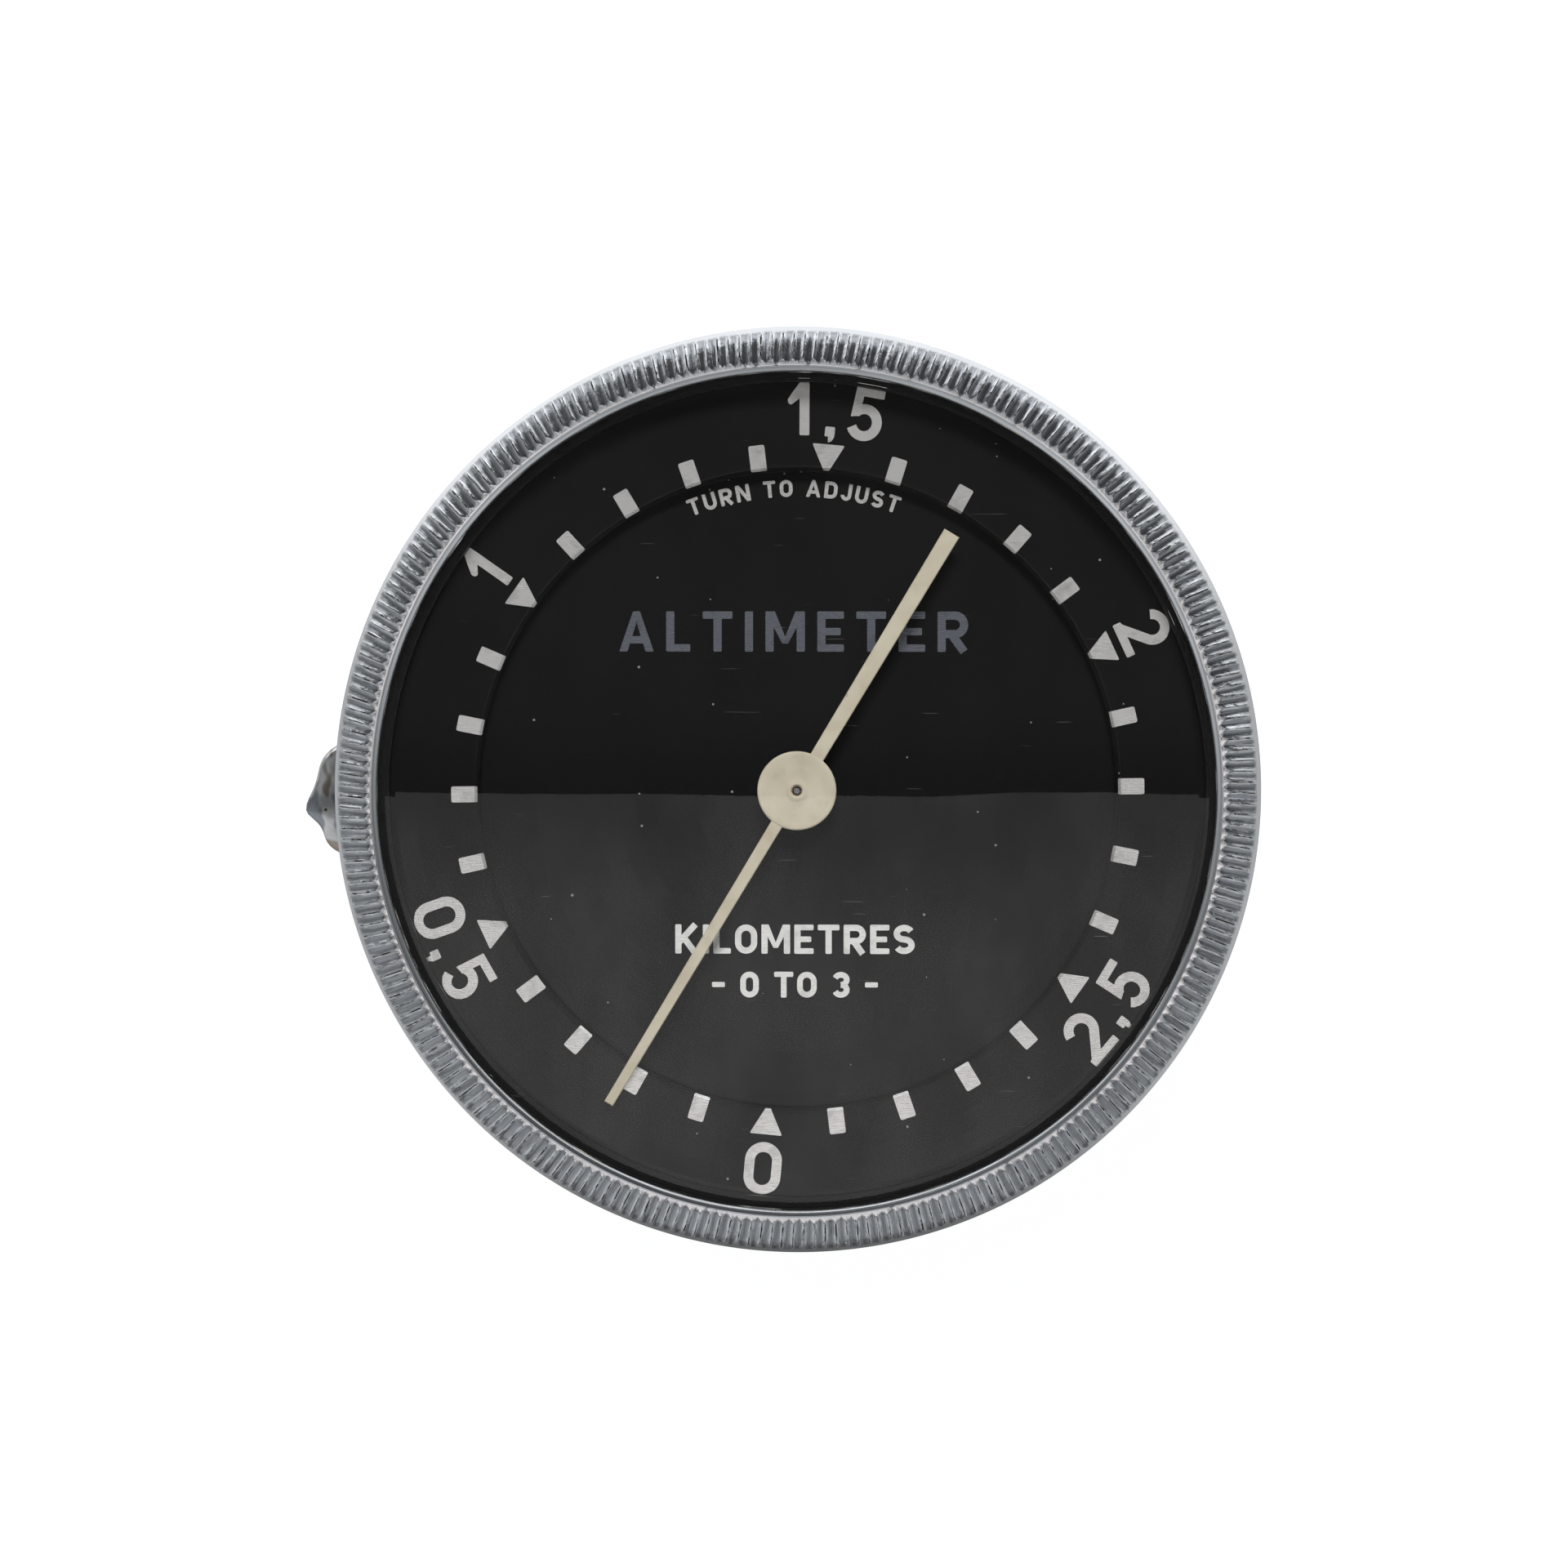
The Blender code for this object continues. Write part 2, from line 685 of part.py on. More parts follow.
def pinion_outline():
    """Ten thin leaves, with a space on the line of centres at mid travel."""
    pitch = 360 / PINION_TEETH
    middle_turn = NEEDLE_BEARING + BELOW_MIDDLE
    space = SECTOR_BEARING + middle_turn
    ladder = [
        (PINION_PITCH_R - TOOTH_ROOT, 0.17 * pitch),
        (PINION_PITCH_R, 0.165 * pitch),
        (PINION_PITCH_R + TOOTH_TIP, 0.06 * pitch),
    ]
    points = []
    for number in range(PINION_TEETH):
        points += tooth(space + (number + 0.5) * pitch, ladder)
    return points


def sector_outline():
    """A toothed rim on two arms, with the hub at the origin and the tail towards +X."""
    pitch = 360 / SECTOR_TEETH
    rim_r = SECTOR_PITCH_R - TOOTH_ROOT
    inner_r = rim_r - SECTOR_RIM
    ladder = [
        (rim_r, 0.27 * pitch),
        (SECTOR_PITCH_R, 0.2 * pitch),
        (SECTOR_PITCH_R + TOOTH_TIP, 0.07 * pitch),
    ]
    half_span = (SECTOR_SHOWN // 2) * pitch
    points = []
    for number in range(SECTOR_SHOWN):
        points += tooth(180 - half_span + number * pitch, ladder)
    edge = half_span + pitch
    end = [polar(rim_r, 180 + edge), polar(inner_r, 180 + edge)]
    hub = arc(SECTOR_HUB_R, 260, 340, 4)
    tail = arc(SECTOR_TAIL_HALF, -90, 90, 6, (TAIL_R, 0))
    other_hub = arc(SECTOR_HUB_R, 20, 100, 4)
    other_end = [polar(inner_r, 180 - edge), polar(rim_r, 180 - edge)]
    return points + end + hub + tail + other_hub + other_end


def sector_window():
    """The opening between the sector's two arms."""
    inner_r, outer_r = SECTOR_WINDOW_R
    inner_half, outer_half = SECTOR_WINDOW_HALF
    outer = arc(outer_r, 180 - outer_half, 180 + outer_half, 10)
    inner = arc(inner_r, 180 + inner_half, 180 - inner_half, 2)
    return outer + inner


def make_sector(axis):
    """The toothed sector on its arbor, with the drive pin in its tail."""
    pin_place = (TAIL_R, 0)
    windows = [sector_window(), circle(ARBOR_HOLE_R), circle(PIN_HOLE_R, 10, pin_place)]
    plate("sector_gear", [sector_outline()] + windows, SECTOR_Z, BRASS, axis)
    collar_low, collar_high = ARBOR_COLLAR_Z
    shoulder, top = ARBOR_TOP_Z
    arbor = [
        (0, top),
        (ARBOR_PIVOT_R, top),
        (ARBOR_PIVOT_R, shoulder),
        (ARBOR_R, shoulder),
        (ARBOR_R, collar_high),
        (ARBOR_COLLAR_R, collar_high),
        (ARBOR_COLLAR_R, collar_low),
        (ARBOR_PIVOT_R, collar_low),
        (ARBOR_PIVOT_R, PIVOT_FOOT_Z),
        (0, PIVOT_FOOT_Z),
    ]
    turned("sector_arbor", arbor, STEEL, SMALL_STEPS, axis)
    pin = rod(PIN_R, (PIN_FOOT_Z, SECTOR_Z[1]))
    turned("sector_pin", pin, STEEL, 10, axis, pin_place)


# ---------------------------------------------------------------- rocker

def make_rocker(axis):
    """A shaft with one arm that the capsule lifts and one that drives the sector's pin."""
    shaft_low = BRACKETS_X[0] - SHAFT_OVERHANG
    shaft_high = BRACKETS_X[1] + SHAFT_OVERHANG
    shaft = lever(
        "rocker_shaft",
        [circle(ROCKER_R)],
        shaft_high - shaft_low,
        (shaft_low + shaft_high) / 2,
        STEEL,
        axis,
    )
    shaft.data.set_sharp_from_angle(angle=math.radians(40))
    bore = circle(ROCKER_R + FINE_GAP)
    lower = arm_outline(ROCKER_HUB_R, LOWER_ARM + LOWER_ARM_TIP, LOWER_ARM_HALF, 180)
    lever("rocker_lower_arm", [lower, bore], LOWER_ARM_WIDTH, 0, BRASS, axis)
    upper = arm_outline(ROCKER_HUB_R, UPPER_ARM + UPPER_ARM_TIP, ARM_HALF, 90)
    lever("rocker_upper_arm", [upper, bore], UPPER_ARM_WIDTH, PIN_X, BRASS, axis)


def make_brackets():
    """Two brackets that hang under the bridge and carry the rocker's shaft."""
    top = BRIDGE_Z[0] - GAP
    bottom = ROCKER_Z - BRACKET_DROP
    near = ROCKER_Y - BRACKET_HALF
    far = ROCKER_Y + BRACKET_HALF
    sides = [(near, top), (near, bottom), (far, bottom), (far, top)]
    bore = circle(ROCKER_R + FINE_GAP, centre=(ROCKER_Y, ROCKER_Z))
    for number, x in enumerate(BRACKETS_X, 1):
        lever(f"rocker_bracket_{number}", [sides, bore], BRACKET_WIDTH, x, BRASS)


# ---------------------------------------------------------------- capsules

def capsule_profile(middle):
    """A hollow corrugated capsule of two thin skins, open at its centre for the stud."""
    steps = 5
    reach = CAPSULE_R - CAPSULE_RIM_WALL - FINE_GAP - CAPSULE_HOLE_R
    radii = [CAPSULE_HOLE_R + reach * i / steps for i in range(steps + 1)]
    waves = [CAPSULE_WAVE * (i % 2) for i in range(steps + 1)]
    outer = [(r, CAPSULE_HALF - wave) for r, wave in zip(radii, waves)]
    inner = [(r, height - CAPSULE_SKIN) for r, height in outer]
    outer_half, inner_half = CAPSULE_RIM_HALF
    wall_r = CAPSULE_R - CAPSULE_RIM_WALL
    rim_outer = [(CAPSULE_R, outer_half), (CAPSULE_R, -outer_half)]
    rim_inner = [(wall_r, -inner_half), (wall_r, inner_half)]
    upper_skin = [(r, middle + z) for r, z in outer]
    lower_skin = [(r, middle - z) for r, z in reversed(outer)]
    lower_inside = [(r, middle - z) for r, z in inner]
    upper_inside = [(r, middle + z) for r, z in reversed(inner)]
    rim = [(r, middle + z) for r, z in rim_outer]
    inside_rim = [(r, middle + z) for r, z in rim_inner]
    return upper_skin + rim + lower_skin + lower_inside + inside_rim + upper_inside


def make_capsules(axis):
    """Two aneroid capsules: the lower one on its bar, the upper one with the lifting post."""
    place = (0, CAPSULE_Y)
    lower = capsule_profile(CAPSULE_LOWER_Z)
    turned("capsule_lower", lower, BRASS, CAPSULE_STEPS, at=place)
    upper = capsule_profile(CAPSULE_UPPER_Z)
    turned("capsule_upper", upper, BRASS, CAPSULE_STEPS, axis)

    foot_span = (CALIBRATION_BAR_Z[1] + GAP / 2, CAPSULE_LOWER_Z + CAPSULE_HALF)
    turned("capsule_foot", rod(POST_R, foot_span), BRASS, SMALL_STEPS, at=place)

    skin_top = CAPSULE_UPPER_Z + CAPSULE_HALF
    tip = ROCKER_Z - LOWER_ARM_HALF - LIFT_GAP
    flange_low, flange_high = [skin_top + rise for rise in POST_FLANGE]
    bottom = CAPSULE_UPPER_Z - CAPSULE_HALF
    post = [
        (0, tip),
        (POST_TIP_R, tip),
        (POST_R, tip - POST_TIP_LENGTH),
        (POST_R, flange_high),
        (POST_FLANGE_R, flange_high),
        (POST_FLANGE_R, flange_low),
        (POST_R, flange_low),
        (POST_R, bottom),
        (0, bottom),
    ]
    turned("capsule_post", post, STEEL, SMALL_STEPS, axis)


def make_calibration(axis):
    """The bar under the capsules and the screw that tilts it, reached through the back."""
    x = CALIBRATION_BAR_X
    near = CAPSULE_Y - CALIBRATION_BAR_HALF
    far = CAPSULE_Y + CALIBRATION_BAR_HALF
    sides = [(-x, near), (x, near), (x, far), (-x, far)]
    plate("calibration_bar", [sides], CALIBRATION_BAR_Z, STEEL)
    foot, under_head, top = CALIBRATION_SCREW_Z
    shank_r, head_r = CALIBRATION_SCREW_R
    profile = [
        (0, top),
        (shank_r, top),
        (shank_r, under_head),
        (head_r, under_head),
        (head_r, foot),
        (0, foot),
    ]
    screw = turned("calibration_screw", profile, STEEL, SMALL_STEPS, axis)
    slot_z = (foot - 1, CALIBRATION_SLOT_TOP_Z)
    slot = slot_cutter("calibration_slot", CALIBRATION_SCREW, CALIBRATION_SLOT_HALF, slot_z)
    cut(screw, slot)


# ---------------------------------------------------------------- plates and pillars

def along_cock(distance):
    """A place on the cock's centre line."""
    return polar(distance, SECTOR_BEARING)


def bar_outline(first, last, half, steps=8):
    """A bar with round ends along the cock's centre line."""
    start = along_cock(first)
    end = along_cock(last)
    head = arc(half, SECTOR_BEARING - 90, SECTOR_BEARING + 90, steps, end)
    foot = arc(half, SECTOR_BEARING + 90, SECTOR_BEARING + 270, steps, start)
    return head + foot


def bridge_outline():
    """A wide bar with round corners that covers the pillars and the rocker."""
    corner = BRIDGE_CORNER
    left, bottom = [value + corner for value in BRIDGE_LOW]
    right, top = [value - corner for value in BRIDGE_HIGH]
    return (
        arc(corner, 0, 90, 4, (right, top))
        + arc(corner, 90, 180, 4, (left, top))
        + arc(corner, 180, 270, 4, (left, bottom))
        + arc(corner, 270, 360, 4, (right, bottom))
    )


def make_plates(plate_spots):
    """The movement plate, the bridge, the cock and the pillars between them."""
    stud_hole_r = STUD_R + FINE_GAP
    pillar_windows = [circle(stud_hole_r, centre=place) for place in BRIDGE_PILLARS]
    cock_spots = [along_cock(distance) for distance in COCK_PILLARS]
    cock_windows = [circle(stud_hole_r, centre=place) for place in cock_spots]
    sector_pivot = circle(PIVOT_HOLE_R, 12, (SECTOR_X, SECTOR_Y))

    movement = turned("movement_plate", rod(PLATE_R, PLATE_Z), BRASS, LARGE_STEPS)
    stud_spots = list(BRIDGE_PILLARS) + spots(DIAL_POST_PITCH_R, 90)
    holes = holes_through(stud_spots + plate_spots, stud_hole_r, PLATE_Z)
    holes += holes_through([CALIBRATION_SCREW], CALIBRATION_HOLE_R, PLATE_Z)
    cut(movement, drills("plate_drills", holes))
    for number, (x, y) in enumerate(plate_spots, 1):
        make_plate_screw(f"plate_screw_{number}", x, y)

    left = PIN_X - ARM_SLOT_HALF
    right = PIN_X + ARM_SLOT_HALF
    near, far = [ROCKER_Y + value for value in ARM_SLOT_SPAN]
    arm_slot = [(left, near), (right, near), (right, far), (left, far)]
    staff_pivot = circle(PIVOT_HOLE_R, 12)
    windows = pillar_windows + cock_windows + [sector_pivot, staff_pivot, arm_slot]
    plate("bridge_plate", [bridge_outline()] + windows, BRIDGE_Z, BRASS)
    for number, place in enumerate(BRIDGE_PILLARS, 1):
        span = (PLATE_Z[1] + GAP, BRIDGE_Z[0] - GAP)
        profile = stepped_pillar(PILLAR_R, span, PLATE_Z[0], BRIDGE_Z[1] + STUD_PROUD)
        turned(f"bridge_pillar_{number}", profile, BRASS, SMALL_STEPS, at=place)

    bar_windows = cock_windows + [sector_pivot, circle(STAFF_R + FINE_GAP)]
    bar = bar_outline(*COCK_ENDS, COCK_HALF)
    plate("cock_bar", [bar] + bar_windows, COCK_Z, BRASS)
    for number, place in enumerate(cock_spots, 1):
        span = (BRIDGE_Z[1] + GAP, COCK_Z[0] - 2 * FINE_GAP)
        profile = stepped_pillar(PILLAR_R, span, BRIDGE_Z[0], COCK_Z[1] + STUD_PROUD)
        turned(f"cock_pillar_{number}", profile, BRASS, SMALL_STEPS, at=place)


def make_plate_screw(name, x, y):
    """A cheese-head screw that holds the movement plate to the case's ledge."""
    under_head, top = PLATE_SCREW_HEAD_Z
    profile = [
        (0, top),
        (PLATE_SCREW_HEAD_R, top),
        (PLATE_SCREW_HEAD_R, under_head),
        (STUD_R, under_head),
        (STUD_R, PLATE_SCREW_FOOT_Z),
        (0, PLATE_SCREW_FOOT_Z),
    ]
    screw = turned(name, profile, STEEL, SMALL_STEPS, at=(x, y))
    cut(screw, slot_cutter(name + "_slot", (x, y), SLOT_HALF, (top - SLOT_DEPTH, top + 1)))


# ---------------------------------------------------------------- hairspring

def spiral_points(offset):
    """Points along the hairspring, moved outwards by an offset."""
    steps = SPRING_TURNS * 14
    inner, outer = SPRING_R
    turn = 360 * SPRING_TURNS
    points = []
    for i in range(steps + 1):
        share = i / steps
        radius = inner + (outer - inner) * share
        points.append(polar(radius + offset, SECTOR_BEARING + 180 + turn * share))
    return points


def make_hairspring():
    """The flat spiral spring that takes up backlash, and the stud that holds its outer end."""
    outline = spiral_points(SPRING_HALF) + spiral_points(-SPRING_HALF)[::-1]
    plate("hairspring", [outline], SPRING_Z, STEEL)
    near = SPRING_R[1] + SPRING_HALF + SPRING_STUD_GAP
    far = near + SPRING_STUD_LENGTH
    side = polar(SPRING_STUD_HALF, SECTOR_BEARING + 90)
    corners = []
    for distance, sign in ((near, 1), (far, 1), (far, -1), (near, -1)):
        x, y = along_cock(-distance)
        corners.append((x + sign * side[0], y + sign * side[1]))
    plate("hairspring_stud", [corners], SPRING_STUD_Z, BRASS)


# ---------------------------------------------------------------- assembly

def build():
    """Make every piece and hang the moving ones on their axes."""
    bezel_axis = joint_axis("bezel_axis", (0, 0, 0))
    needle_axis = joint_axis("needle_axis", (0, 0, 0), (0, 0, -NEEDLE_BEARING))
    sector_turn = SECTOR_BEARING - BELOW_MIDDLE * SECTOR_RATIO
    sector_axis = joint_axis("sector_axis", (SECTOR_X, SECTOR_Y, 0), (0, 0, sector_turn))
    rocker_turn = BELOW_MIDDLE * ROCKER_RATIO
    rocker_axis = joint_axis("rocker_axis", (0, ROCKER_Y, ROCKER_Z), (rocker_turn, 0, 0))
    capsule_axis = joint_axis("capsule_axis", (0, CAPSULE_Y, -CAPSULE_DROP))
    calibration_axis = joint_axis("calibration_axis", (*CALIBRATION_SCREW, 0))

    plate_spots = make_case()
    make_lug()
    make_spring_wire()
    make_bezel(bezel_axis)
    make_dial()
    make_needle(needle_axis)
    make_sector(sector_axis)
    make_rocker(rocker_axis)
    make_brackets()
    make_capsules(capsule_axis)
    make_calibration(calibration_axis)
    make_plates(plate_spots)
    make_hairspring()


clear_scene()
parts = new_collection("altimeter")
cutters = new_collection("altimeter_cutters")
build()
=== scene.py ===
"""Looks of a pocket aneroid altimeter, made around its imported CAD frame.

The instrument lies face up: +Z out of the dial, +Y to twelve o'clock, +X to three o'clock.
Sizes are in millimetres, and MM turns them into Blender's metres. Clock angles run from
twelve o'clock towards three o'clock.
"""

import json
import math

import bmesh
import bpy
import numpy as np
from mathutils import Matrix, Vector
from mathutils.geometry import delaunay_2d_cdt


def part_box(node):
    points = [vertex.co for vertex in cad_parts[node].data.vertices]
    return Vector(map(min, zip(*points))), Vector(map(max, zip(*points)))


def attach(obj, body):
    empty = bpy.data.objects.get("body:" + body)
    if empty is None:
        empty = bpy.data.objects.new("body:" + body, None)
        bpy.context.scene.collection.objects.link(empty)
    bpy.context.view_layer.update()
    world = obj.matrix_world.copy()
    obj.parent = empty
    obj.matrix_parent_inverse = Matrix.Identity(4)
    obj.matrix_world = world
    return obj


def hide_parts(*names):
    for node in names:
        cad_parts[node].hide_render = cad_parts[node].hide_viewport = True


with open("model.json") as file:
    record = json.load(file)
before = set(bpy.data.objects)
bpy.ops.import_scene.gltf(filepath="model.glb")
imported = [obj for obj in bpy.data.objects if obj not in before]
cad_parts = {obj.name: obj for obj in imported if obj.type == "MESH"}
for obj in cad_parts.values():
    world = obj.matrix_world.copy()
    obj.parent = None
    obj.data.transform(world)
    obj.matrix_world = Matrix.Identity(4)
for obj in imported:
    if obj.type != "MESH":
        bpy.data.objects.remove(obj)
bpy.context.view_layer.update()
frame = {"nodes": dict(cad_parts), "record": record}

MM = 0.001
slot_of = {part["node"]: part["material_slot"] for part in frame["record"]["subparts"]}
rng = np.random.default_rng(7)

# Camera: its target in the bezel's top plane, its distance and its lean off the axis.
TARGET = (-0.85, 0.61)
DISTANCE = 500
LEAN_RIGHT = math.radians(2.1)
LEAN_UP = math.radians(2.7)
SENSOR = 36
FIELD_WIDTH = 114.4

# Steps in a turn.
FINE_STEPS = 256
ROUND_STEPS = 128
HOLE_STEPS = 48

# Case and back: the ledge's width, the wire groove's depth, and the holes' radii.
LEDGE_WIDTH = 5
GROOVE_DEPTH = 0.65
FOOT_CHAMFER = 0.9
SCREW_HOLE_R = 0.9
VENT_R = 0.5
VENT_CIRCLE_R = 12
ACCESS_R = 1.2

# Lug: where its nose and its cord hole stand, and the (depth, width) of the bell curve that
# its outline falls back by on either side of the nose.
LUG_NOSE_Y = -2.3
LUG_HOLE_X = -34.4
LUG_HOLE_R = 0.9
LUG_LOWER_TRIM = 0.9
LUG_UPPER_BELL = (1.0, 1.6)
LUG_LOWER_BELL = (1.15, 0.9)

# Bezel flutes: scoops cut into the quarter-round shoulder, slanting a little clockwise.
# Angles round the shoulder run from the outer wall at 0 to the top at 90. A scoop's floor
# rises to its sides as SCOOP_SLOPE * distance ** SCOOP_POWER.
FLUTES = 259
SHOULDER = 2.8
SHOULDER_STEPS = 27
FLUTE_DEPTH = 0.25
FLUTE_DEEPEST = 60
FLUTE_INNER_REACH = 30
FLUTE_OUTER_REACH = 34
FLUTE_TIP_POWER = 1.5
FLUTE_SLANT = math.radians(3.5)
SCOOP_POWER = 1.6
SCOOP_SLOPE = 0.66
SCOOP_STATIONS = (-1, -0.66, -0.33, 0, 0.33, 0.66, 1)
SCOOP_WIDEST = 0.88
CRACK_DEPTH = 0.08
TOOL_MARKS = 0.016

# The bezel's lip: its bore, the two radii of its rounded crest, and where the crest's curve
# starts, in degrees from +X.
LIP_R = 30.6
LIP_ROUND = (0.8, 0.62)
LIP_START = 105

# Crystal: its dome's rise, and how far inside its edge the dome and the bevel end.
CRYSTAL_RISE = 0.8
CRYSTAL_DOME_INSET = 2.3
CRYSTAL_BEVEL_INSETS = (1.52, 0.85)
CRYSTAL_BEVEL_ANGLE = math.radians(26)

# Radiance of the room towards six o'clock, to the sides and towards twelve o'clock; the
# walls' goes from twelve o'clock to six.
CEILING_LEVELS = (0.16, 0.22, 0.75)
FLOOR_LEVELS = (0.12, 0.42, 0.95)
WALL_LEVELS = (0.085, 0.28)
WINDOW_LEVEL = 1.2
CORNER_LEVEL = 0.32
BACKDROP_LEVEL = 1.1

# Two cards over the instrument, which its glossy faces mirror, meet at CARD_EDGE_Y.
CARD_HEIGHT = 1000
CARD_EDGE_Y = -48
CARD_FADE = 45

LAMP_PLACE = (45, 562, 899)
LAMP_SIZE = (300, 180)
LAMP_POWER = 12.5
FLOOR_HALF_SIZE = 3000
FLOOR_DROP = 0.02

# Marks on the scale ring. Zero stands at ZERO_CLOCK and a tenth of a kilometre is a step.
RING_BORE_R = 23.35
RING_BEVEL = 0.35
ZERO_CLOCK = 185.2
STEP_CLOCK = 12.0
MARK_INNER_R = 23.5
MARK_OUTER_R = 25.42
TICK_WIDTH = 1.18
TRIANGLE_BASE = 2.4
TRIANGLE_TIP = 0.4
NUMERAL_R = (26.0, 29.9)
NUMERAL_STROKE = 0.72
COMMA_SIZE = 0.72
FLIPPED_COMMA_INSET = 0.25
MARK_THICKNESS = 0.02
ARC_MIDDLE = -0.8

# Needle: each blade's length, and its half width at the hub and at its end.
NEEDLE_BEARING = math.radians(211)
NEEDLE_HEAD = (26.9, 0.46, 0.36)
NEEDLE_TAIL = (22.0, 0.53, 0.63)
BLADE_START = 2.4
BLADE_EASE = 0.06
HUB_R = 2.9
HUB_HOLE_R = 0.38
HUB_DISH = 0.1


# ---- mesh helpers ----

def extent(cad):
    """Lowest and highest corner of a CAD node, in millimetres."""
    low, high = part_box(cad)
    return low / MM, high / MM


def finish_mesh(name, work, sharp_angle):
    """Turn a bmesh in millimetres into a smooth-shaded mesh in metres."""
    bmesh.ops.scale(work, verts=work.verts, vec=(MM, MM, MM))
    bmesh.ops.recalc_face_normals(work, faces=work.faces)
    mesh = bpy.data.meshes.new(name)
    work.to_mesh(mesh)
    work.free()
    mesh.shade_smooth()
    mesh.set_sharp_from_angle(angle=math.radians(sharp_angle))
    return mesh


def link_object(name, data):
    """Put an object made of some data in the scene."""
    obj = bpy.data.objects.new(name, data)
    bpy.context.scene.collection.objects.link(obj)
    return obj


def add_piece(name, mesh, body, finish, cad=None):
    """Put a piece on its body with its finish, in place of a CAD node, which it hides."""
    obj = link_object(name, mesh)
    mesh.materials.append(finish)
    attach(obj, body)
    if cad:
        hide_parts(cad)
    return obj


def polar(radius, degrees, centre=(0, 0)):
    """A point at a radius and an angle from +X."""
    angle = math.radians(degrees)
    return (centre[0] + radius * math.cos(angle), centre[1] + radius * math.sin(angle))


def ellipse_arc(centre, radii, start, end, steps=14):
    """Points along part of an ellipse, in degrees from +X."""
    angles = [math.radians(start + (end - start) * i / steps) for i in range(steps + 1)]
    cx, cy = centre
    rx, ry = radii
    return [(cx + rx * math.cos(a), cy + ry * math.sin(a)) for a in angles]


def round_corners(points, radius, steps=4):
    """Round each corner of a closed outline with a small curve."""
    rounded = []
    count = len(points)
    for i, corner in enumerate(points):
        corner = Vector(corner)
        before = Vector(points[i - 1]) - corner
        after = Vector(points[(i + 1) % count]) - corner
        reach = min(radius, before.length * 0.45, after.length * 0.45)
        start = corner + before.normalized() * reach
        end = corner + after.normalized() * reach
        for k in range(steps + 1):
            t = k / steps
            rounded.append(tuple(start * (1 - t) ** 2 + corner * 2 * t * (1 - t) + end * t * t))
    return rounded


def solid_profile(corners, radius, steps):
    """Round a profile's corners, except the first and the last, which are on the axis."""
    rounded = round_corners(corners, radius, steps)
    return [corners[0]] + rounded[steps + 1:-steps - 1] + [corners[-1]]


def braced(profile, closed):
    """Add points beside the ends of long runs, so that flat faces shade flat."""
    count = len(profile)
    points = []
    for i in range(count if closed else count - 1):
        start = Vector(profile[i])
        end = Vector(profile[(i + 1) % count])
        run = end - start
        points.append(tuple(start))
        if run.length > 0.3:
            near = run.normalized() * 0.03
            points += [tuple(start + near), tuple(end - near)]
    if not closed:
        points.append(profile[-1])
    return points


def revolve(name, profile, steps, sharp_angle):
    """Turn (radius, height) points about Z; a profile that starts on the axis is a solid."""
    work = bmesh.new()
    hollow = profile[0][0] > 1e-6
    turn = [2 * math.pi * i / steps for i in range(steps)]
    rows = []
    for radius, height in braced(profile, hollow):
        if radius < 1e-6:
            rows.append([work.verts.new((0, 0, height))] * steps)
        else:
            points = [(radius * math.cos(a), radius * math.sin(a), height) for a in turn]
            rows.append([work.verts.new(point) for point in points])
    pairs = list(zip(rows, rows[1:]))
    if hollow:
        pairs.append((rows[-1], rows[0]))
    for upper, lower in pairs:
        for i in range(steps):
            j = (i + 1) % steps
            corners = dict.fromkeys((upper[i], upper[j], lower[j], lower[i]))
            if len(corners) > 2:
                work.faces.new(list(corners))
    return finish_mesh(name, work, sharp_angle)


def turned_piece(name, profile, body, finish, cad=None, steps=FINE_STEPS, sharp_angle=32):
    """A piece turned from a profile."""
    return add_piece(name, revolve(name, profile, steps, sharp_angle), body, finish, cad)


def ring_profile(inner, outer, low, high, edge):
    """Profile of a ring with softly broken edges."""
    corners = [(outer, high), (outer, low), (inner, low), (inner, high)]
    return round_corners(corners, edge, 3)


def filled(outlines):
    """Triangles that cover a set of outlines, overlaps and all."""
    points = []
    faces = []
    for outline in outlines:
        sides = zip(outline, outline[1:] + outline[:1])
        area = sum(ax * by - bx * ay for (ax, ay), (bx, by) in sides)
        ordered = outline if area > 0 else outline[::-1]
        faces.append(list(range(len(points), len(points) + len(ordered))))
        points += [Vector(point) for point in ordered]
    verts, _, triangles, _, _, owners = delaunay_2d_cdt(points, [], faces, 0, 1e-5)
    return verts, [triangle for triangle, owner in zip(triangles, owners) if owner]


def raised(name, outlines, top):
    """A mark's thin solid over a set of outlines, half sunk into the face at a height."""
    points, triangles = filled(outlines)
    used = sorted({i for triangle in triangles for i in triangle})
    work = bmesh.new()
    lower, upper = (
        {i: work.verts.new((points[i].x, points[i].y, top + lift)) for i in used}
        for lift in (-MARK_THICKNESS, MARK_THICKNESS)
    )
    for triangle in triangles:
        work.faces.new([lower[i] for i in reversed(triangle)])
        work.faces.new([upper[i] for i in triangle])
    sides = [(triangle[k - 1], triangle[k]) for triangle in triangles for k in range(3)]
    shared = set(sides)
    for start, end in sides:
        if (end, start) not in shared:
            work.faces.new((lower[start], lower[end], upper[end], upper[start]))
    return finish_mesh(name, work, 32)


def drilled(obj, holes, low, high):
    """Cut upright round holes, each (x, y, radius at low, radius at high), through a piece."""
    work = bmesh.new()
    for x, y, low_r, high_r in holes:
        made = bmesh.ops.create_cone(
            work,
            cap_ends=True,
            segments=HOLE_STEPS,
            radius1=low_r * MM,
            radius2=high_r * MM,
            depth=(high - low) * MM,
        )
        centre = (x * MM, y * MM, (low + high) / 2 * MM)
        bmesh.ops.translate(work, verts=made["verts"], vec=centre)
    cut_with(obj, work)


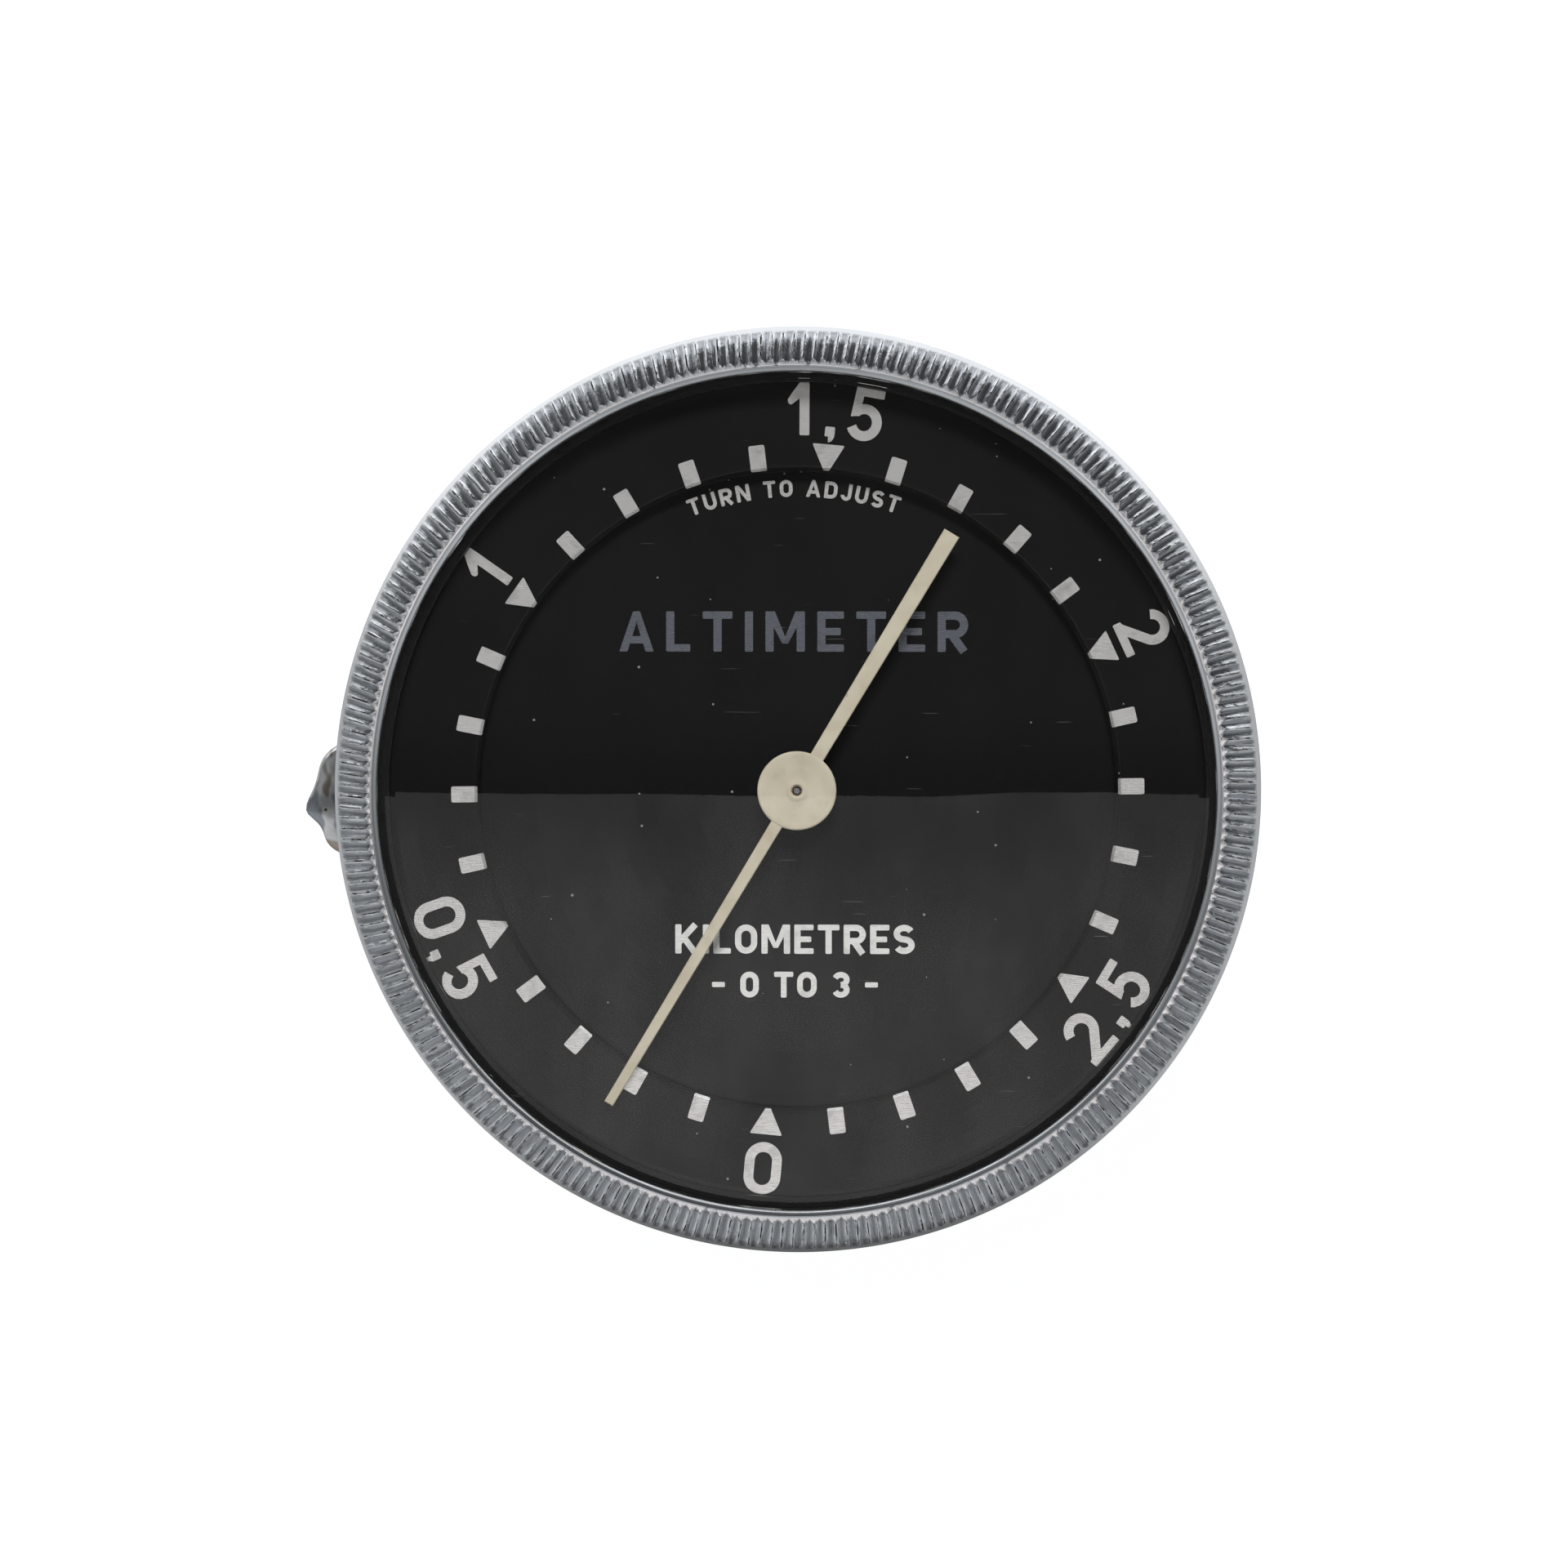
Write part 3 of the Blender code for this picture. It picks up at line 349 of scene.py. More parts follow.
def cut_with(obj, work):
    """Take a bmesh away from a piece for good."""
    mesh = bpy.data.meshes.new("cutter")
    work.to_mesh(mesh)
    work.free()
    cutter = link_object("cutter", mesh)
    boolean = obj.modifiers.new("cut", "BOOLEAN")
    boolean.object = cutter
    boolean.solver = "EXACT"
    depsgraph = bpy.context.evaluated_depsgraph_get()
    result = bpy.data.meshes.new_from_object(obj.evaluated_get(depsgraph))
    obj.modifiers.remove(boolean)
    obj.data = result
    result.set_sharp_from_angle(angle=math.radians(32))
    bpy.data.objects.remove(cutter)


# ---- material helpers ----

def node(tree, kind, inputs=None, **settings):
    """Add a shader node; an input is a constant, or another node's output to link."""
    made = tree.nodes.new(kind)
    for key, value in settings.items():
        setattr(made, key, value)
    fill(made, inputs or {})
    return made


def fill(made, inputs):
    """Link or set a node's inputs."""
    for key, value in inputs.items():
        if isinstance(value, bpy.types.NodeSocket):
            made.id_data.links.new(value, made.inputs[key])
        else:
            made.inputs[key].default_value = value


def step(kind, inputs, **settings):
    """Add a node to the tree that its inputs come from."""
    linked = [value for value in inputs.values() if isinstance(value, bpy.types.NodeSocket)]
    return node(linked[0].id_data, kind, inputs, **settings)


def maths(operation, *values):
    """A math node's result."""
    return step("ShaderNodeMath", dict(enumerate(values)), operation=operation).outputs[0]


def times(first, second):
    """A product."""
    return maths("MULTIPLY", first, second)


def plus(first, second):
    """A sum."""
    return maths("ADD", first, second)


def remap(value, low, high, to_low=0.0, to_high=1.0):
    """Spread a value from one range over another, smoothly and clamped."""
    inputs = {0: value, 1: low, 2: high, 3: to_low, 4: to_high}
    return step("ShaderNodeMapRange", inputs, interpolation_type="SMOOTHSTEP").outputs[0]


def blend_colour(share, first, second):
    """Mix two colours by a share."""
    return step("ShaderNodeMix", {0: share, 6: first, 7: second}, data_type="RGBA").outputs[2]


def mix_shaders(share, first, second):
    """Mix two shaders by a share."""
    return step("ShaderNodeMixShader", {0: share, 1: first, 2: second}).outputs[0]


def parts_of(vector):
    """A vector's three parts."""
    return step("ShaderNodeSeparateXYZ", {0: vector}).outputs


def emission(tree, colour, strength):
    """An emission shader."""
    return node(tree, "ShaderNodeEmission", {"Color": colour, "Strength": strength}).outputs[0]


def is_ray(tree, kind):
    """1 for rays of a kind, 0 for others."""
    return node(tree, "ShaderNodeLightPath").outputs[f"Is {kind} Ray"]


def grey(value):
    """A neutral grey."""
    return (value, value, value, 1)


def darkened(colour):
    """The tarnished tone of a metal."""
    return tuple(channel * 0.72 for channel in colour[:3]) + (1,)


def place_coordinates(tree, stretch=(1, 1, 1), turn=0.0):
    """The place on the object, in metres, stretched after a turn about Z."""
    coordinates = node(tree, "ShaderNodeTexCoord").outputs["Object"]
    inputs = {"Vector": coordinates, "Rotation": (0, 0, turn), "Scale": stretch}
    return step("ShaderNodeMapping", inputs).outputs[0]


def noise_of(vector, scale, detail=3.0, roughness=0.55):
    """Smooth noise from 0 to 1 over a vector."""
    inputs = {"Vector": vector, "Scale": scale, "Detail": detail, "Roughness": roughness}
    return step("ShaderNodeTexNoise", inputs).outputs["Fac"]


def pattern(tree, scale, detail=3.0, roughness=0.55, stretch=(1, 1, 1), turn=0.0):
    """Smooth noise from 0 to 1 over the place on the object."""
    return noise_of(place_coordinates(tree, stretch, turn), scale, detail, roughness)


def turned_lines(tree, pitch):
    """Fine lines round the axis, as a lathe tool leaves them, about a pitch apart."""
    coordinates = node(tree, "ShaderNodeTexCoord").outputs["Object"]
    x, y, z = parts_of(coordinates)
    radius = maths("SQRT", plus(times(x, x), times(y, y)))
    drift = times(noise_of(coordinates, 40.0), 0.0002)
    across = plus(radius, drift)
    vector = step("ShaderNodeCombineXYZ", {0: across, 1: z}).outputs[0]
    return noise_of(vector, 0.5 / (pitch * MM), 2.0)


def specks(tree, spacing, size, share):
    """Scattered round specks: 1 on a speck and 0 elsewhere."""
    inputs = {"Vector": place_coordinates(tree), "Scale": 1 / (spacing * MM), "Randomness": 1.0}
    cells = step("ShaderNodeTexVoronoi", inputs, voronoi_dimensions="3D").outputs
    chance = step("ShaderNodeSeparateColor", {0: cells["Color"]}).outputs
    chosen = maths("LESS_THAN", chance[0], share)
    reach = times(chance[1], size / spacing)
    inside = maths("LESS_THAN", cells["Distance"], reach)
    return times(chosen, inside)


def bump(height, distance):
    """A bump normal from a height between 0 and 1, over a distance in millimetres."""
    inputs = {"Height": height, "Distance": distance * MM, "Strength": 1.0}
    return step("ShaderNodeBump", inputs).outputs[0]


def new_material(name):
    """An empty node material, its tree and its Principled shader."""
    made = bpy.data.materials.new(name)
    made.use_nodes = True
    return made, made.node_tree, made.node_tree.nodes["Principled BSDF"]


def wire_up(shader, **sockets):
    """Link or set the shader's inputs by name, with _ for a space."""
    fill(shader, {key.replace("_", " "): value for key, value in sockets.items()})


def show(surface):
    """Make a shader the material's surface."""
    fill(surface.id_data.nodes["Material Output"], {"Surface": surface})


# ---- materials ----

def turned_metal(name, tone, roughness, pitch, depth):
    """Turned metal with lathe lines, handling scratches and a patchy dulling."""
    made, tree, shader = new_material(name)
    lines = turned_lines(tree, pitch)
    patches = pattern(tree, 180.0, 4.0)
    scratches = pattern(tree, 500.0, 2.0, stretch=(1, 14, 3), turn=0.6)
    scratched = remap(scratches, 0.66, 0.74)
    dull = remap(patches, 0.35, 0.75)
    colour = blend_colour(dull, grey(tone), grey(tone * 0.84))
    worn = remap(patches, 0.3, 0.8, roughness - 0.04, roughness + 0.07)
    rough = plus(worn, times(scratched, 0.12))
    normal = bump(plus(lines, times(scratched, -0.6)), depth)
    wire_up(shader, Base_Color=colour, Metallic=1.0, Roughness=rough, Normal=normal)
    return made


def fluted_metal():
    """The bezel's metal: cutter streaks and painted shade in the scoops, black dirt in the cracks.

    The mesh's "scoop" attribute holds a place across and along the scoops and the depth there;
    "ridge" runs from 0 on a scoop's floor to 1 between scoops, and "crack" is 1 on a crack.
    """
    made, tree, shader = new_material("bezel_metal")
    crack, ridge, scoop = (
        node(tree, "ShaderNodeAttribute", attribute_name=name).outputs[output]
        for name, output in (("crack", "Fac"), ("ridge", "Fac"), ("scoop", "Vector"))
    )
    grime = pattern(tree, 1300.0, 3.0, 0.6)
    patches = pattern(tree, 160.0, 4.0)
    streak_place = step("ShaderNodeMapping", {"Vector": scoop, "Scale": (7, 0.5, 1)}).outputs[0]
    streaks = noise_of(streak_place, 1.0, 3.0, 0.6)
    cut = remap(parts_of(scoop)[2], 0.0, 0.08)
    in_crack = remap(crack, 0.05, 0.35)
    filth = times(in_crack, remap(grime, 0.42, 0.56, 0.15, 1.0))
    dull = remap(patches, 0.35, 0.75)
    clean = blend_colour(dull, (0.95, 0.96, 0.98, 1), (0.86, 0.87, 0.89, 1))
    ragged = plus(ridge, remap(streaks, 0.3, 0.7, -0.3, 0.3))
    # Painted shade: the scoop floors, away from the ridges, are darkened towards blue-grey.
    scoop_floor_shade = times(remap(ragged, 0.68, 0.42), cut)
    colour = blend_colour(times(scoop_floor_shade, 0.72), clean, (0.3, 0.31, 0.335, 1))
    streaked = times(remap(streaks, 0.5, 0.7), times(cut, 0.7))
    colour = blend_colour(streaked, colour, (0.24, 0.24, 0.245, 1))
    colour = blend_colour(filth, colour, (0.035, 0.025, 0.018, 1))
    smooth_part = times(maths("SUBTRACT", 1.0, cut), turned_lines(tree, 0.03))
    chatter = pattern(tree, 2600.0, 3.0, 0.6)
    cut_part = times(cut, plus(streaks, times(chatter, 0.5)))
    normal = bump(plus(times(smooth_part, 0.3), cut_part), 0.034)
    rough = remap(patches, 0.3, 0.8, 0.13, 0.2)
    rough = plus(rough, times(filth, 0.4))
    wire_up(shader, Base_Color=colour, Metallic=1.0, Roughness=rough, Normal=normal)
    return made


def chrome_plating():
    """Old plating: bright, soft dents, brown pits and tarnish, fine scratches, painted dark
    reflections.
    """
    made, tree, shader = new_material("lug_chrome")
    dents = pattern(tree, 420.0, 2.0)
    pits = specks(tree, 0.7, 0.22, 0.25)
    scratches = pattern(tree, 600.0, 2.0, stretch=(1, 12, 2), turn=0.9)
    scratched = remap(scratches, 0.64, 0.72)
    reflection_and_tarnish_clouds = pattern(tree, 520.0, 2.0, stretch=(1, 0.6, 1))
    # Painted reflection: blue-grey patches copy dark mirrored surroundings; brown ones are
    # tarnish.
    painted_dark_reflection, pale = (0.42, 0.44, 0.47, 1), (0.93, 0.92, 0.91, 1)
    colour = blend_colour(remap(reflection_and_tarnish_clouds, 0.4, 0.5), painted_dark_reflection, pale)
    colour = blend_colour(remap(reflection_and_tarnish_clouds, 0.56, 0.64), colour, (0.5, 0.42, 0.35, 1))
    colour = blend_colour(pits, colour, (0.2, 0.14, 0.09, 1))
    rough = plus(remap(dents, 0.3, 0.7, 0.08, 0.18), times(scratched, 0.2))
    normal = bump(plus(dents, times(pits, -0.3)), 0.12)
    wire_up(shader, Base_Color=colour, Metallic=1.0, Roughness=rough, Normal=normal)
    return made


def black_lacquer(name, roughness, dust):
    """Gloss black lacquer, a little uneven, with dust and a few hairline scratches."""
    made, tree, shader = new_material(name)
    motes = specks(tree, 1.3, 0.1, dust)
    wave = pattern(tree, 30.0, 1.0)
    grain = pattern(tree, 2400.0, 2.0)
    hairs = pattern(tree, 260.0, 1.0, stretch=(1, 40, 1), turn=0.5)
    hair = times(remap(hairs, 0.79, 0.82), 0.4)
    mark = maths("MAXIMUM", motes, hair)
    colour = blend_colour(mark, grey(0.006), (0.2, 0.19, 0.18, 1))
    rough = remap(grain, 0.3, 0.7, roughness, roughness + 0.03)
    rough = plus(rough, times(mark, 0.4))
    normal = bump(plus(wave, times(grain, 0.008)), 0.01)
    wire_up(shader, Base_Color=colour, Roughness=rough, Normal=normal, Specular_IOR_Level=0.2)
    return made


def bare_metal(name, colour, metallic, roughness, grain_turn):
    """The pale metal of the marks, brushed one way and a little stained."""
    made, tree, shader = new_material(name)
    grain = pattern(tree, 1500.0, stretch=(1, 12, 1), turn=math.radians(grain_turn))
    stained = remap(pattern(tree, 700.0), 0.45, 0.8)
    worn = maths("MAXIMUM", stained, remap(grain, 0.5, 0.72))
    tinted = blend_colour(worn, colour, darkened(colour))
    rough = remap(grain, 0.25, 0.75, roughness - 0.04, roughness + 0.05)
    normal = bump(grain, 0.003)
    wire_up(shader, Base_Color=tinted, Metallic=metallic, Roughness=rough, Normal=normal)
    return made


def cream_paint():
    """Aged cream paint with pinhead stains, a blotchy wash and a few black specks."""
    made, tree, shader = new_material("needle_cream")
    mottle = pattern(tree, 700.0, 4.0, 0.6)
    wash = remap(pattern(tree, 260.0, 2.0), 0.3, 0.7)
    stains = times(specks(tree, 0.9, 0.16, 0.22), 0.5)
    dots = times(specks(tree, 1.9, 0.16, 0.2), 0.8)
    base = blend_colour(wash, (0.48, 0.435, 0.34, 1), (0.42, 0.37, 0.28, 1))
    mottled = remap(mottle, 0.45, 0.75, 0.0, 0.5)
    base = blend_colour(mottled, base, (0.35, 0.3, 0.215, 1))
    base = blend_colour(stains, base, (0.24, 0.19, 0.125, 1))
    base = blend_colour(dots, base, (0.1, 0.08, 0.06, 1))
    rough = remap(mottle, 0.3, 0.7, 0.42, 0.58)
    wire_up(shader, Base_Color=base, Roughness=rough, Normal=bump(mottle, 0.01))
    return made


def crystal_glass():
    """Clear glass, very slightly wavy; lamps and soft light shine straight through it."""
    made, tree, shader = new_material("crystal_clear")
    wave = pattern(tree, 60.0, 1.0, stretch=(1, 2, 1), turn=0.4)
    tint = blend_colour(wave, (0.99, 0.99, 0.99, 1), (0.98, 0.985, 0.985, 1))
    wire_up(shader, Base_Color=tint, Roughness=0.0, IOR=1.45, Normal=bump(wave, 0.01))
    wire_up(shader, Transmission_Weight=1.0)
    indirect = maths("MAXIMUM", is_ray(tree, "Shadow"), is_ray(tree, "Diffuse"))
    indirect = maths("MAXIMUM", indirect, is_ray(tree, "Glossy"))
    clear = node(tree, "ShaderNodeBsdfTransparent", {"Color": (0.99, 0.995, 0.995, 1)})
    show(mix_shaders(indirect, shader.outputs[0], clear.outputs[0]))
    return made


def black_rubber():
    """Matt black rubber with pale dust."""
    made, tree, shader = new_material("gasket_black")
    dust = specks(tree, 0.8, 0.12, 0.3)
    bloom = pattern(tree, 900.0)
    colour = blend_colour(remap(bloom, 0.4, 0.8), grey(0.008), grey(0.018))
    colour = blend_colour(dust, colour, grey(0.25))
    wire_up(shader, Base_Color=colour, Roughness=0.7, Normal=bump(bloom, 0.02))
    return made


def machined(name, colour, roughness):
    """Machined brass or steel inside the case, with a ground grain and tarnish."""
    made, tree, shader = new_material(name)
    tarnish = pattern(tree, 220.0, 4.0)
    grain = pattern(tree, 900.0, stretch=(1, 10, 1), turn=0.3)
    tinted = blend_colour(remap(tarnish, 0.35, 0.75), colour, darkened(colour))
    rough = remap(tarnish, 0.3, 0.8, roughness - 0.05, roughness + 0.12)
    normal = bump(grain, 0.004)
    wire_up(shader, Base_Color=tinted, Metallic=1.0, Roughness=rough, Normal=normal)
    return made


case_metal = turned_metal("case_metal", 0.66, 0.2, 0.05, 0.004)
back_metal = turned_metal("back_metal", 0.62, 0.27, 0.07, 0.006)
screw_steel = machined("screw_steel", (0.6, 0.6, 0.61, 1), 0.25)
spring_steel = machined("spring_steel", (0.5, 0.51, 0.53, 1), 0.24)
brass = machined("movement_brass", (0.78, 0.58, 0.29, 1), 0.26)
lacquer = black_lacquer("dial_black", 0.05, 0.3)
ring_lacquer = black_lacquer("ring_black", 0.05, 0.4)
inner_black = black_lacquer("inner_black", 0.3, 0.5)
mark_metal = bare_metal("mark_metal", (0.95, 0.93, 0.905, 1), 0.8, 0.18, 35)
title_metal = bare_metal("title_metal", (0.145, 0.157, 0.18, 1), 0.6, 0.25, -20)
text_metal = bare_metal("text_metal", (0.66, 0.645, 0.62, 1), 0.15, 0.4, 10)
cream = cream_paint()
glass = crystal_glass()
rubber = black_rubber()
carried_finish = {
    "screw_steel": screw_steel,
    "movement_steel": spring_steel,
    "movement_brass": brass,
    "chrome": screw_steel,
}


# ---- case ----

def make_case():
    """The turned cup of the case, with a groove for the bezel's spring wire."""
    low, high = extent("case_body")
    wire_low, wire_high = extent("bezel_spring_wire")
    outer = high.y
    back_high = extent("case_back")[1]
    bore = back_high.x + 0.4
    ledge = bore - LEDGE_WIDTH
    ledge_top = extent("movement_plate")[0].z - 0.3
    ledge_low = back_high.z + 0.3
    groove_r = outer - GROOVE_DEPTH
    corners = [
        (outer, high.z),
        (outer, wire_high.z + 0.1),
        (groove_r, wire_high.z + 0.1),
        (groove_r, wire_low.z - 0.1),
        (outer, wire_low.z - 0.1),
        (outer, low.z + FOOT_CHAMFER),
        (outer - FOOT_CHAMFER, low.z),
        (bore, low.z),
        (bore, ledge_low),
        (ledge, ledge_low),
        (ledge, ledge_top),
        (bore, ledge_top),
        (bore, high.z),
    ]
    turned_piece("case_cup", round_corners(corners, 0.25), "case", case_metal, "case_body")


def make_back():
    """The back plate with its countersunk screws, vents and calibration hole."""
    low, high = extent("case_back")
    corners = [(0, high.z), (high.x, high.z), (high.x, low.z), (0, low.z)]
    profile = solid_profile(corners, 0.15, 4)
    obj = turned_piece("back_plate", profile, "case", back_metal, "case_back")
    access_low, access_high = extent("calibration_screw")
    access = (access_low + access_high) / 2
    screws = [screw_place(number) for number in (1, 2, 3)]
    vents = [polar(VENT_CIRCLE_R, 30 + 120 * i) for i in range(3)]
    holes = [(x, y, SCREW_HOLE_R, SCREW_HOLE_R) for x, y in screws]
    holes += [(x, y, VENT_R, VENT_R) for x, y in vents]
    holes.append((access.x, access.y, ACCESS_R, ACCESS_R))
    drilled(obj, holes, low.z - 1, high.z + 1)
    drilled(obj, [(x, y, 2.4, 0.6) for x, y in screws], low.z - 0.8, low.z + 1)
    for number, (x, y) in enumerate(screws, 1):
        make_back_screw(number, x, y)


def screw_place(number):
    """The centre of a back screw."""
    low, high = extent(f"back_screw_{number}")
    middle = (low + high) / 2
    return middle.x, middle.y


def make_back_screw(number, x, y):
    """A countersunk slotted screw."""
    cad = f"back_screw_{number}"
    low, high = extent(cad)
    corners = [(0, high.z), (0.6, high.z), (0.6, 0.85), (1.3, low.z), (0, low.z)]
    profile = solid_profile(corners, 0.06, 3)
    obj = turned_piece(f"back_fixing_{number}", profile, "case", screw_steel, cad, HOLE_STEPS)
    obj.data.transform(Matrix.Translation((x * MM, y * MM, 0)))
    slot = bmesh.new()
    bmesh.ops.create_cube(slot, size=1)
    bmesh.ops.scale(slot, verts=slot.verts, vec=(4 * MM, 0.4 * MM, 1.4 * MM))
    bmesh.ops.translate(slot, verts=slot.verts, vec=(x * MM, y * MM, -0.3 * MM))
    cut_with(obj, slot)


def lug_thickness(half, reach_share, along):
    """Half the lug's thickness at a share of its reach and at -1 to 1 along its root."""
    nose = max(0.0, 1 - reach_share ** 2) ** 0.5
    ends = max(0.0, 1 - abs(along) ** 5) ** 0.5
    return half * nose * ends * (1 - 0.25 * reach_share)


def make_lug():
    """The lanyard lug: a bell-shaped pillow of metal on the case wall, with its cord hole."""
    low, high = extent("lanyard_lug")
    case_r = extent("case_body")[1].y
    middle_z = (low.z + high.z) / 2
    half = (high.z - low.z) / 2
    half_up = high.y - LUG_NOSE_Y
    half_down = LUG_NOSE_Y - low.y - LUG_LOWER_TRIM
    reach = -low.x - math.sqrt(case_r ** 2 - LUG_NOSE_Y ** 2) + 0.1
    rows = 40
    columns = 28
    work = bmesh.new()
    top, bottom = [], []
    for i in range(rows + 1):
        along = math.sin(math.pi / 2 * (2 * i / rows - 1))
        y = LUG_NOSE_Y + along * (half_up if along > 0 else half_down)
        root_x = -math.sqrt(case_r ** 2 - y * y) + 0.1
        bell, width = LUG_UPPER_BELL if along > 0 else LUG_LOWER_BELL
        drop = bell * (1 - math.exp(-((y - LUG_NOSE_Y) / width) ** 2))
        stand = max(0.0, reach * (1 - 0.75 * abs(along) ** 6) - drop)
        upper, lower = [], []
        for k in range(columns + 1):
            share = math.sin(math.pi / 2 * k / columns)
            thick = lug_thickness(half, share, along)
            x = root_x - stand * share
            upper.append(work.verts.new((x, y, middle_z + thick)))
            lower.append(work.verts.new((x, y, middle_z - thick)))
        top.append(upper)
        bottom.append(lower)
    for side in (top, bottom):
        for first, second in zip(side, side[1:]):
            for k in range(columns):
                work.faces.new((first[k], first[k + 1], second[k + 1], second[k]))
    for i in range(rows):
        work.faces.new((top[i][0], top[i + 1][0], bottom[i + 1][0], bottom[i][0]))
    bmesh.ops.remove_doubles(work, verts=work.verts, dist=0.0005)
    bmesh.ops.dissolve_degenerate(work, edges=work.edges, dist=0.0005)
    mesh = finish_mesh("cord_lug", work, 40)
    obj = add_piece("cord_lug", mesh, "case", chrome_plating(), "lanyard_lug")
    drilled(obj, [(LUG_HOLE_X, LUG_NOSE_Y, LUG_HOLE_R, LUG_HOLE_R)], low.z - 1, high.z + 1)


# ---- bezel ----

def bezel_rows():
    """The bezel's profile as (radius, height, shoulder angle or None), up the outside first."""
    low, high = extent("bezel")
    outer, top = high.x, high.z
    centre = (outer - SHOULDER, top - SHOULDER)
    under = extent("crystal_gasket")[1].z + 0.1
    bore = outer - 2
    wall = [
        (outer - 0.4, low.z),
        (outer - 0.12, low.z + 0.12),
        (outer, low.z + 0.4),
        (outer, centre[1] - 0.05),
    ]
    angles = [90 * i / SHOULDER_STEPS for i in range(SHOULDER_STEPS + 1)]
    middle_z = top - LIP_ROUND[1] * math.sin(math.radians(LIP_START))
    lip = ellipse_arc((LIP_R + LIP_ROUND[0], middle_z), LIP_ROUND, LIP_START, 180, 8)
    inside = [(LIP_R, under + 0.05), (LIP_R + 0.05, under), (bore, under), (bore, low.z)]
    rows = [(r, z, None) for r, z in wall]
    rows += [(*polar(SHOULDER, angle, centre), angle) for angle in angles]
    return rows + [(r, z, None) for r, z in lip + inside]


def scoop_depth(angle, scale, shift):
    """Depth of every scoop's floor at a shoulder angle, with each scoop's scale and shift."""
    along = angle - FLUTE_DEEPEST + shift
    reach = np.where(along > 0, FLUTE_INNER_REACH, FLUTE_OUTER_REACH)
    power = np.where(along > 0, FLUTE_TIP_POWER, 1.0)
    return FLUTE_DEPTH * scale * np.clip(1 - (along / reach) ** 2, 0, None) ** power


def closed_grid(name, rows):
    """A smooth mesh over rows of points, closed round the turn and round the profile."""
    count = len(rows)
    columns = len(rows[0])
    index = np.arange(count * columns).reshape(count, columns)
    above = np.roll(index, -1, axis=0)
    quads = np.stack([index, np.roll(index, -1, 1), np.roll(above, -1, 1), above], axis=2)
    mesh = bpy.data.meshes.new(name)
    mesh.from_pydata((np.concatenate(rows) * MM).tolist(), [], quads.reshape(-1, 4).tolist())
    mesh.shade_smooth()
    mesh.set_sharp_from_angle(angle=math.radians(38))
    return mesh


def make_bezel():
    """The fluted bezel.

    Every row of the shoulder has a column at each scoop's two edges, at its floor and
    between, and one more on the crack that separates it from the next scoop.
    """
    pitch = 2 * math.pi / FLUTES
    half_pitch = pitch / 2 * (extent("bezel")[1].x - SHOULDER / 2)
    middle = (np.arange(FLUTES) + 0.5 + rng.uniform(-0.03, 0.03, FLUTES)) * pitch
    scale = rng.uniform(0.92, 1.06, FLUTES)
    shift = rng.normal(0, 0.8, FLUTES)
    stations = np.array(SCOOP_STATIONS)
    crack = CRACK_DEPTH * rng.uniform(0.3, 1.0, FLUTES)
    tool = rng.normal(0, TOOL_MARKS, (FLUTES, len(stations) - 2))
    crack_place = np.full((FLUTES, 1), half_pitch)

    verts, dirt, flank, scoop = [], [], [], []
    for radius, height, angle in bezel_rows():
        plain = angle is None
        depth = np.zeros(FLUTES) if plain else scoop_depth(angle, scale, shift)
        width = (depth / SCOOP_SLOPE) ** (1 / SCOOP_POWER)
        touching = np.clip((width - half_pitch * SCOOP_WIDEST) / (half_pitch * 0.1), 0, 1)
        width = np.clip(width, half_pitch * 0.12, half_pitch * SCOOP_WIDEST)
        place = np.concatenate([width[:, None] * stations, crack_place], axis=1)
        sink = np.clip(depth[:, None] - SCOOP_SLOPE * np.abs(place) ** SCOOP_POWER, 0, None)
        sink[:, -1] += crack * touching * rng.uniform(0.2, 1.0, FLUTES)
        sink[:, 1:-2] += tool * np.clip(depth / 0.1, 0, 1)[:, None]
        sink += rng.normal(0, 0.003, sink.shape) * (depth[:, None] > 0.05)
        turn = middle[:, None] + place / half_pitch * pitch / 2
        r, z = radius + 0 * sink, height + 0 * sink
        if not plain:
            below = math.radians(FLUTE_DEEPEST - angle)
            turn -= math.tan(FLUTE_SLANT) * below * SHOULDER / radius
            r -= sink * math.cos(math.radians(angle))
            z -= sink * math.sin(math.radians(angle))
        points = np.stack([r * np.cos(turn), r * np.sin(turn), z], axis=2)
        verts.append(points.reshape(-1, 3))
        edge = np.zeros(place.shape)
        edge[:, -1] = touching
        dirt.append(edge.ravel())
        flank.append((np.abs(place) / half_pitch).ravel())
        across = np.arange(FLUTES)[:, None] * 3.0 + place
        along = np.full_like(across, 0.0 if plain else math.radians(angle) * SHOULDER)
        scoop.append(np.stack([across, along, depth[:, None] + 0 * across], axis=2))
    mesh = closed_grid("knurled_bezel", verts)
    for name, kind, field, values in (
        ("crack", "FLOAT", "value", dirt),
        ("ridge", "FLOAT", "value", flank),
        ("scoop", "FLOAT_VECTOR", "vector", scoop),
    ):
        attribute = mesh.attributes.new(name, kind, "POINT")
        attribute.data.foreach_set(field, np.concatenate(values).astype(np.float32).ravel())
    add_piece("knurled_bezel", mesh, "bezel", fluted_metal(), "bezel")


